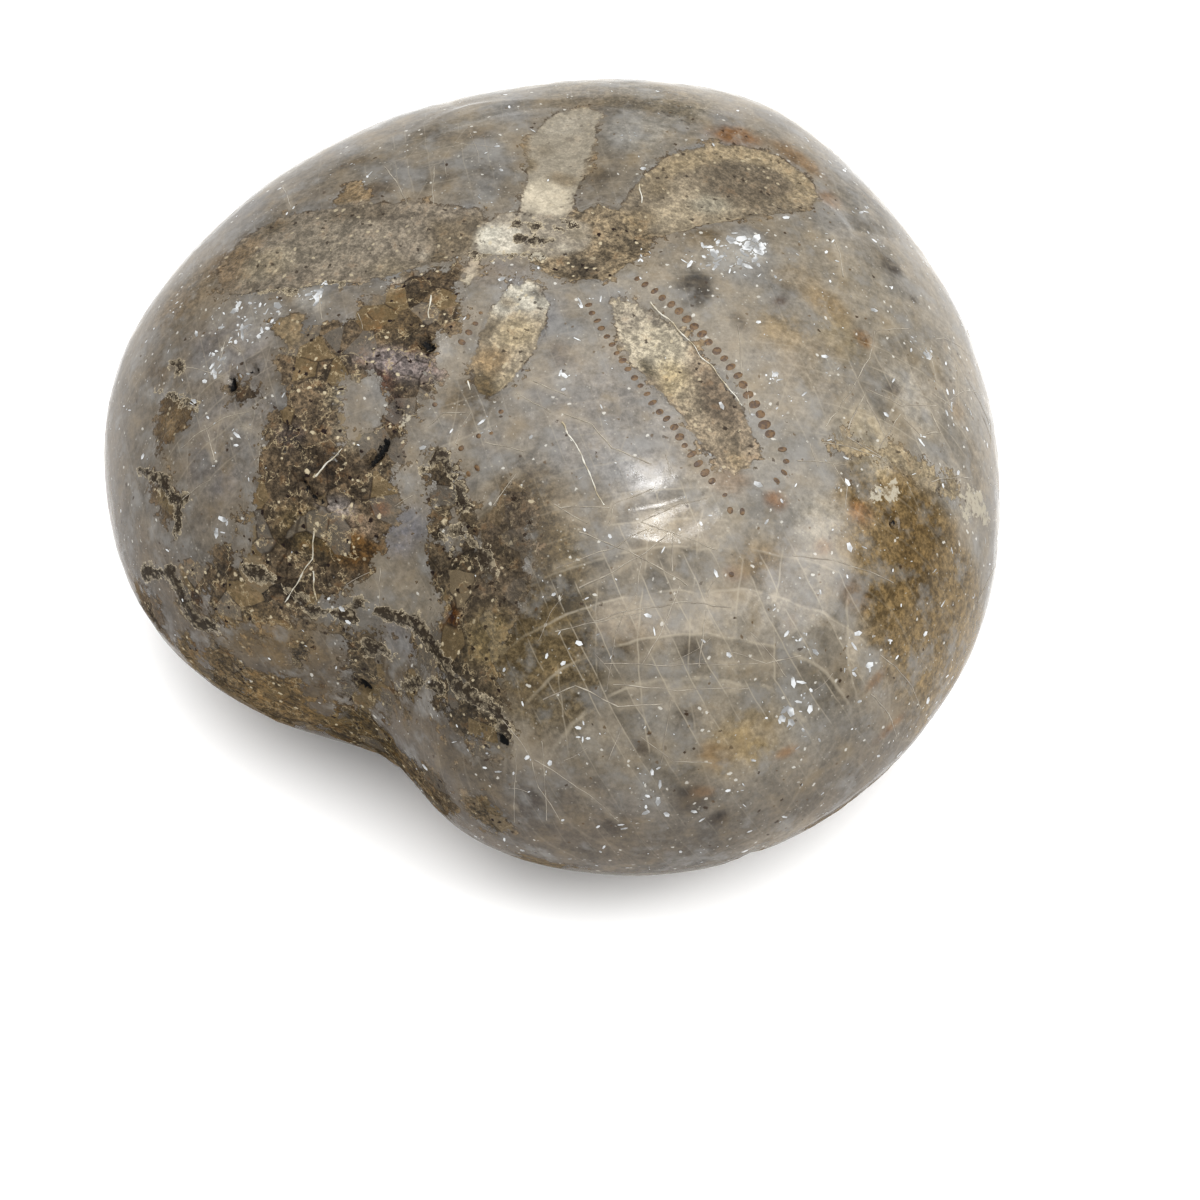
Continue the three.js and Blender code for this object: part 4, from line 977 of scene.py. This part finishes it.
def stoneMaterial():
    material = bpy.data.materials.new("polished calcite")
    material.use_nodes = True
    tree = material.node_tree
    tree.nodes.clear()
    output = addNode(tree, "ShaderNodeOutputMaterial")
    at = stoneSources(tree)
    edgeOf = raggedEdges(tree, at)
    fillShare = addNode(tree, "ShaderNodeMapRange", {0: edgeOf["fillEdge"], 1: -0.06, 2: 0.06})
    surface = addNode(tree, "ShaderNodeMix", {0: fillShare, 6: groundPaint(tree, at), 7: fillPaint(tree, at)},
                      2, data_type="RGBA")
    marks = markLayers(tree, at, edgeOf)
    surface = painted(tree, surface, [(share, stoneLooks[name]) for name, share in marks.items()])
    for kind, other in (("SUBTRACT", (stoneLooks["veil"],) * 3), ("MAXIMUM", (0.002,) * 3),
                        ("MULTIPLY", stoneLooks["tint"])):
        surface = addNode(tree, "ShaderNodeVectorMath", {0: surface, 1: other}, operation=kind)
    surface = addNode(tree, "ShaderNodeVectorMath", {0: surface, 3: stoneLooks["tone"]}, operation="SCALE")

    # what takes no polish is dull, and only there is the bump deep
    dull = addNode(tree, "ShaderNodeMath", {0: fillShare, 1: at["grain"]}, operation="MULTIPLY",
                   use_clamp=True)
    for name in ("crust", "chip", "hollow"):
        dull = addNode(tree, "ShaderNodeMath", {0: dull, 1: marks[name]}, operation="MAXIMUM")
    roughness = addNode(tree, "ShaderNodeMapRange", {0: dull, 3: stoneLooks["polishedRoughness"],
                                                     4: stoneLooks["granularRoughness"]})
    patchy = stoneLooks["patchyRoughness"]
    patches = addNode(tree, "ShaderNodeMapRange", {0: at["mottle"], 1: 0.3, 2: 0.7, 3: -patchy, 4: patchy})
    roughness = addNode(tree, "ShaderNodeMath", {0: roughness, 1: patches}, operation="ADD")
    depth = addNode(tree, "ShaderNodeMapRange", {0: at["roughShare"], 3: stoneLooks["polishedBump"],
                                                 4: stoneLooks["granularBump"]})
    height = addNode(tree, "ShaderNodeMath", {0: at["grit"], 1: at["crumb"]}, operation="ADD")
    height = addNode(tree, "ShaderNodeMath", {0: height, 1: depth}, operation="MULTIPLY")
    bump = addNode(tree, "ShaderNodeBump", {"Strength": 0.6, "Distance": stoneLooks["bumpDepth"] * mm,
                                            "Height": height})
    slant = addNode(tree, "ShaderNodeLayerWeight", {"Blend": 0.5}, "Facing")
    straightOn, slanted = stoneLooks["gloss"]
    gloss = addNode(tree, "ShaderNodeMapRange", {0: slant, 1: 0.25, 2: 0.8, 3: straightOn, 4: slanted})
    shader = addNode(tree, "ShaderNodeBsdfPrincipled", {
        "Base Color": surface, "Roughness": roughness, "IOR": stoneLooks["ior"],
        "Specular IOR Level": gloss, "Normal": bump})
    tree.links.new(shader, output.inputs[0])
    return material


stone.data.materials.append(stoneMaterial())
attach(stone, "root")
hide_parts("urchin_test")
print("stone: polished calcite on it")


def spottedMaterial(name, code, otherCode, size, roughness):  # two colours of one mineral, mingled
    material = bpy.data.materials.new(name)
    material.use_nodes = True
    tree = material.node_tree
    shader = tree.nodes["Principled BSDF"]
    place = addNode(tree, "ShaderNodeTexCoord", out="Object")
    mottle = addNode(tree, "ShaderNodeTexNoise", {"Vector": place, "Scale": 1 / (size * mm), "Detail": 3.0})
    share = addNode(tree, "ShaderNodeMapRange", {0: mottle, 1: 0.42, 2: 0.6})
    colour = addNode(tree, "ShaderNodeMix", {0: share, 6: (*linear(code), 1), 7: (*linear(otherCode), 1)}, 2,
                     data_type="RGBA")
    colour = addNode(tree, "ShaderNodeVectorMath", {0: colour, 3: stoneLooks["tone"]}, operation="SCALE")
    tree.links.new(colour, shader.inputs["Base Color"])
    shader.inputs["Roughness"].default_value = roughness
    shader.inputs["IOR"].default_value = stoneLooks["ior"]
    return material


def growTree(name, sockets):  # an empty geometry tree with named inputs
    tree = bpy.data.node_groups.new(name, "GeometryNodeTree")
    tree.interface.new_socket("Geometry", in_out="OUTPUT", socket_type="NodeSocketGeometry")
    tree.interface.new_socket("Geometry", in_out="INPUT", socket_type="NodeSocketGeometry")
    for socketName, kind in sockets:
        tree.interface.new_socket(socketName, in_out="INPUT", socket_type=kind)
    return tree, tree.nodes.new("NodeGroupInput").outputs


def endTree(tree, geometry, material):
    real = addNode(tree, "GeometryNodeRealizeInstances", {0: geometry})
    painted = addNode(tree, "GeometryNodeSetMaterial", {0: real, "Material": material})
    addNode(tree, "NodeGroupOutput", {0: painted})


def grown(holder, tree, values, name):  # runs the tree on the holder and keeps the result as a plain mesh
    modifier = holder.modifiers.new("grow", "NODES")
    modifier.node_group = tree
    for item in tree.interface.items_tree:
        if item.item_type == "SOCKET" and item.in_out == "INPUT" and item.name in values:
            modifier[item.identifier] = values[item.name]
    bpy.context.view_layer.update()
    ready = holder.evaluated_get(bpy.context.evaluated_depsgraph_get())
    mesh = bpy.data.meshes.new_from_object(ready)
    mesh.name = name
    holder.modifiers.remove(modifier)
    bpy.data.objects.remove(holder)
    piece = bpy.data.objects.new(name, mesh)
    bpy.context.scene.collection.objects.link(piece)
    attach(piece, "root")
    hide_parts("urchin_test")
    print(f"{name}: {len(mesh.polygons)} faces")
    return piece


finishedTree = BVHTree.FromPolygons([Vector(p) for p in finished], quads.tolist())


def curvesOf(name, routes, radii):  # one curve per route, laid on the finished stone, thinning at its ends
    curve = bpy.data.curves.new(name, "CURVE")
    curve.dimensions = "3D"
    for route, (first, last) in zip(routes, radii):
        spline = curve.splines.new("POLY")
        spline.points.add(len(route) - 1)
        for i, (point, spot) in enumerate(zip(spline.points, route)):
            share = i / max(len(route) - 1, 1)
            point.co = (*(finishedTree.find_nearest(Vector(spot))[0] * mm), 1)
            point.radius = first + (last - first) * share
    holder = bpy.data.objects.new(name, curve)
    bpy.context.scene.collection.objects.link(holder)
    return holder


# Healed cracks: fine veins of cream calcite, half sunk in the stone, and a painted highlight laid on as one
# white vein
def veinAndGlareTree(material):
    tree, given = growTree("veins along cracks and painted glare", [("Swelling", "NodeSocketFloat"), ("Seed", "NodeSocketInt")])
    spread = addNode(tree, "FunctionNodeRandomValue", {2: 0.55, "Seed": given["Seed"]}, 1, data_type="FLOAT")
    tree.links.new(given["Swelling"], spread.node.inputs[3])
    profile = addNode(tree, "GeometryNodeCurvePrimitiveCircle", {"Resolution": 5, "Radius": mm})
    radius = addNode(tree, "GeometryNodeInputRadius")
    scale = addNode(tree, "ShaderNodeMath", {0: radius, 1: spread}, operation="MULTIPLY")
    tubes = addNode(tree, "GeometryNodeCurveToMesh", {
        "Curve": given["Geometry"], "Profile Curve": profile, "Scale": scale, "Fill Caps": True})
    endTree(tree, tubes, material)
    return tree


def growVeinsAndGlare():
    pick = np.random.default_rng(crackSettings["seed"] + 1)
    threadRoutes = [layRoute(c, 0.2, 0.25) for c in crackSettings["threads"]]
    scattered = scatterCracks()
    spread, thick = crackSettings["spread"], crackSettings["threadSpread"]
    radii = [(spread * pick.uniform(0.7, 1.4), spread * pick.uniform(0.4, 1.1)) for _ in mainRoutes]
    radii += [(spread * pick.uniform(0.4, 0.9), spread * pick.uniform(0.2, 0.6)) for _ in scattered]
    # dull cream hairlines, and a few veins that catch the eye as bright white, one of them a painted
    # highlight: the glare streak from (4.4, -11.4) to (9.4, -15.8)
    creamCalcite = spottedMaterial("polished cream calcite", "#c6bdae", "#a59b8d", 1.1, 0.45)
    holder = curvesOf("crackPaths", mainRoutes + scattered, radii)
    grown(holder, veinAndGlareTree(creamCalcite), {"Swelling": 1.35, "Seed": 2}, "healed_cracks")
    whiteCalciteAndGlare = spottedMaterial("polished white calcite and painted glare", "#f2eee2", "#c4b79c", 1.1, 0.3)
    holder = curvesOf("threadPaths", threadRoutes, [(thick, thick * 0.7)] * len(threadRoutes))
    grown(holder, veinAndGlareTree(whiteCalciteAndGlare), {"Swelling": 1.5, "Seed": 5}, "bright_veins")


growVeinsAndGlare()

# Pores: two rows beside each well kept petal, each pore filled with iron-brown calcite
poreSettings = {
    "spacing": 0.78,
    "thickness": 0.03,
    "jitter": 0.06,
    "seed": 3,
    "rows": [  # places along the row, half width of a pore at its start and end
        ([(4.4, 1.9), (6.4, 1.15), (8.6, 0.3), (10.7, -0.9), (12.2, -1.7), (14.2, -3.0), (16.0, -4.5),
          (17.5, -5.8)], 0.24, 0.35),
        ([(2.2, -1.6), (3.4, -2.8), (5.3, -4.4), (7.2, -5.9), (9.2, -7.25), (11.2, -8.5), (13.2, -9.8),
          (14.7, -10.7)], 0.2, 0.27),
        ([(18.6, -6.4), (19.5, -7.6), (19.1, -8.8)], 0.24, 0.2), ([(15.3, -11.0), (16.5, -11.6)], 0.2, 0.2),
        ([(-4.5, -5.2), (-4.4, -6.5), (-4.7, -7.8)], 0.14, 0.24),
        ([(17.2, -12.4), (17.95, -12.0)], 0.22, 0.2), ([(18.6, -13.8), (19.2, -13.6)], 0.18, 0.2),
        ([(-4.4, -12.8), (-4.2, -13.3)], 0.18, 0.18), ([(0.1, -12.0), (0.15, -12.7)], 0.18, 0.16),
        ([(0.1, -13.6), (-0.6, -14.0)], 0.2, 0.18), ([(-1.5, -15.0), (-0.9, -15.4)], 0.2, 0.2),
        ([(0.1, -16.0), (-0.4, -16.5)], 0.2, 0.18), ([(18.9, -16.1), (19.4, -16.3)], 0.18, 0.14),
    ],
}


def poreTree(material):
    tree, given = growTree("pores along rows", [
        ("Spacing", "NodeSocketFloat"), ("Thickness", "NodeSocketFloat"), ("Jitter", "NodeSocketFloat"),
        ("Seed", "NodeSocketInt"), ("Stone", "NodeSocketObject")])
    spots = addNode(tree, "GeometryNodeCurveToPoints", {0: given["Geometry"], "Length": given["Spacing"]},
                    mode="LENGTH")
    stoneMesh = addNode(tree, "GeometryNodeObjectInfo", {"Object": given["Stone"]}, "Geometry")
    back = addNode(tree, "ShaderNodeVectorMath", {0: (-1.0, -1.0, -0.2), 3: given["Jitter"]},
                   operation="SCALE")
    forth = addNode(tree, "ShaderNodeVectorMath", {0: (1.0, 1.0, 0.2), 3: given["Jitter"]}, operation="SCALE")
    shift = addNode(tree, "FunctionNodeRandomValue", {0: back, 1: forth, "Seed": given["Seed"]},
                    data_type="FLOAT_VECTOR")
    moved = addNode(tree, "GeometryNodeSetPosition", {0: spots, "Offset": shift})
    facing = addNode(tree, "GeometryNodeSampleNearestSurface", {
        "Mesh": stoneMesh, "Value": addNode(tree, "GeometryNodeInputNormal")}, data_type="FLOAT_VECTOR")
    upright = addNode(tree, "FunctionNodeAlignRotationToVector", {"Vector": facing}, axis="Z")
    alongRow = addNode(tree, "FunctionNodeAlignRotationToVector", {
        "Rotation": upright, "Vector": spots.node.outputs["Tangent"]}, axis="X", pivot_axis="Z")
    ball = addNode(tree, "GeometryNodeMeshUVSphere", {"Segments": 12, "Rings": 6, "Radius": 1.0})
    halfWidth = addNode(tree, "ShaderNodeMath", {0: addNode(tree, "GeometryNodeInputRadius"), 1: mm},
                        operation="MULTIPLY")
    sides = []
    for least, most, seed in ((0.72, 1.1, 1), (1.0, 1.45, 2)):
        vary = addNode(tree, "FunctionNodeRandomValue", {2: least, 3: most, "Seed": seed}, 1,
                       data_type="FLOAT")
        sides.append(addNode(tree, "ShaderNodeMath", {0: halfWidth, 1: vary}, operation="MULTIPLY"))
    size = addNode(tree, "ShaderNodeCombineXYZ", {"X": sides[0], "Y": sides[1], "Z": given["Thickness"]})
    many = addNode(tree, "GeometryNodeInstanceOnPoints", {
        "Points": moved, "Instance": ball, "Rotation": alongRow, "Scale": size})
    endTree(tree, many, material)
    return tree


poreRoutes = [layRoute(places, 0.2, 0.1) for places, first, last in poreSettings["rows"]]
poreRadii = [(first, last) for places, first, last in poreSettings["rows"]]
# each pore is a dull brown dot of its own shade
poreFill = spottedMaterial("polished iron-stained calcite", "#80633c", "#563d24", 0.3, 0.4)
grown(curvesOf("poreRows", poreRoutes, poreRadii), poreTree(poreFill), {
    "Spacing": poreSettings["spacing"] * mm, "Thickness": poreSettings["thickness"] * mm,
    "Jitter": poreSettings["jitter"] * mm, "Seed": poreSettings["seed"], "Stone": stone}, "petal_pores")


def fleckTree(material):
    tree, given = growTree("flecks in the stone", [
        ("Stone", "NodeSocketObject"), ("Thickness", "NodeSocketFloat"), ("Size", "NodeSocketFloat"),
        ("Per square metre", "NodeSocketFloat"), ("Seed", "NodeSocketInt")])
    stoneMesh = addNode(tree, "GeometryNodeObjectInfo", {"Object": given["Stone"]}, "Geometry")
    share = addNode(tree, "GeometryNodeInputNamedAttribute", {"Name": "fleckShare"}, data_type="FLOAT")
    density = addNode(tree, "ShaderNodeMath", {0: share, 1: given["Per square metre"]}, operation="MULTIPLY")
    spots = addNode(tree, "GeometryNodeDistributePointsOnFaces", {
        "Mesh": stoneMesh, "Density": density, "Seed": given["Seed"]})
    shard = addNode(tree, "GeometryNodeMeshCylinder", {"Vertices": 5, "Radius": 1.0, "Depth": 2.0})
    chance = {}
    for name, low, high in (("spin", 0.0, 2 * math.pi), ("size", 0.0, 1.0), ("slim", 0.14, 0.7)):
        values = {2: low, 3: high, "Seed": len(chance) + 5}
        chance[name] = addNode(tree, "FunctionNodeRandomValue", values, 1, data_type="FLOAT")
    turn = addNode(tree, "ShaderNodeCombineXYZ", {"Z": chance["spin"]})
    turned = addNode(tree, "FunctionNodeRotateRotation", {0: spots.node.outputs["Rotation"], 1: turn},
                     rotation_space="LOCAL")
    mostSmall = addNode(tree, "ShaderNodeMath", {0: chance["size"], 1: 3.5}, operation="POWER")
    long = addNode(tree, "ShaderNodeMapRange", {0: mostSmall, 3: 0.28, 4: 1.7})
    thick = addNode(tree, "ShaderNodeMapRange", {0: share, 1: 0.1, 2: 0.8, 3: 0.8, 4: 1.3})
    long = addNode(tree, "ShaderNodeMath", {0: long, 1: thick}, operation="MULTIPLY")
    long = addNode(tree, "ShaderNodeMath", {0: long, 1: given["Size"]}, operation="MULTIPLY")
    slim = addNode(tree, "ShaderNodeMath", {0: long, 1: chance["slim"]}, operation="MULTIPLY")
    size = addNode(tree, "ShaderNodeCombineXYZ", {"X": long, "Y": slim, "Z": given["Thickness"]})
    many = addNode(tree, "GeometryNodeInstanceOnPoints", {
        "Points": spots, "Instance": shard, "Rotation": turned, "Scale": size})
    endTree(tree, many, material)
    return tree


sparCalcite = spottedMaterial("cleaved calcite spar", "#f2f4f5", "#a9a9a8", 0.9, 0.3)  # bright white grains
fleckHolder = bpy.data.objects.new("fleckHolder", bpy.data.meshes.new("fleckHolder"))
bpy.context.scene.collection.objects.link(fleckHolder)
grown(fleckHolder, fleckTree(sparCalcite), {
    "Stone": stone, "Thickness": 0.012 * mm, "Size": fleckSettings["size"] * mm,
    "Per square metre": float(fleckSettings["perSquareMetre"]),
    "Seed": fleckSettings["seed"]}, "calcite_flecks")

# The floor, the light and the camera
stageSettings = {
    "floorHalf": 3.0,
    "aim": (6.67, -10.07, 11.94),
    "azimuth": 23,  # degrees towards +X from straight in front
    "elevation": 55,
    "distance": 245,
    "lens": 100,
    "worldStrength": 0.78,
    "lights": [  # direction towards the light, its distance, width and watts
        ("overhead softbox", (0.12, 0.13, 0.98), 0.7, 0.08, 0.42),
        ("side softbox", (0.76, 0.12, 0.64), 0.7, 0.3, 1.05),
        ("ceiling softbox", (0.02, 0.12, 0.99), 1.1, 1.7, 12.6),
    ],
}


def directionFrom(azimuth, elevation):
    a, e = math.radians(azimuth), math.radians(elevation)
    return Vector((math.sin(a) * math.cos(e), -math.cos(a) * math.cos(e), math.sin(e)))


def setStage():
    half = stageSettings["floorHalf"]
    mesh = bpy.data.meshes.new("floor")
    corners = [(-half, -half, 0), (half, -half, 0), (half, half, 0), (-half, half, 0)]
    mesh.from_pydata(corners, [], [(0, 1, 2, 3)])
    floor = bpy.data.objects.new("floor", mesh)
    bpy.context.scene.collection.objects.link(floor)
    paper = bpy.data.materials.new("matt white paper")  # uncoated, so it has next to no gloss
    paper.use_nodes = True
    shader = paper.node_tree.nodes["Principled BSDF"]
    shader.inputs["Base Color"].default_value = (*linear("#ffffff"), 1)
    shader.inputs["Roughness"].default_value = 0.9
    shader.inputs["Specular IOR Level"].default_value = 0.1
    mesh.materials.append(paper)
    world = bpy.data.worlds.new("white tent")
    world.use_nodes = True
    sky = world.node_tree.nodes["Background"]
    sky.inputs["Color"].default_value = (1, 1, 1, 1)
    sky.inputs["Strength"].default_value = stageSettings["worldStrength"]
    bpy.context.scene.world = world
    target = Vector((0, 0, 16)) * mm
    for name, direction, distance, width, watts in stageSettings["lights"]:
        lamp = bpy.data.lights.new(name, "AREA")
        lamp.shape = "DISK"
        lamp.size = width
        lamp.energy = watts
        holder = bpy.data.objects.new(name, lamp)
        holder.location = target + Vector(direction).normalized() * distance
        holder.rotation_euler = Vector(direction).to_track_quat("Z", "Y").to_euler()
        bpy.context.scene.collection.objects.link(holder)
    lens = bpy.data.cameras.new("camera")
    lens.lens = stageSettings["lens"]
    lens.sensor_width = 36
    camera = bpy.data.objects.new("camera", lens)
    outward = directionFrom(stageSettings["azimuth"], stageSettings["elevation"])
    camera.location = (Vector(stageSettings["aim"]) + outward * stageSettings["distance"]) * mm
    camera.rotation_euler = outward.to_track_quat("Z", "Y").to_euler()
    bpy.context.scene.collection.objects.link(camera)
    bpy.context.scene.camera = camera
    bpy.context.scene.view_settings.view_transform = "Standard"
    bpy.context.scene.view_settings.look = "High Contrast"


setStage()
print("stage: floor, lights and camera")
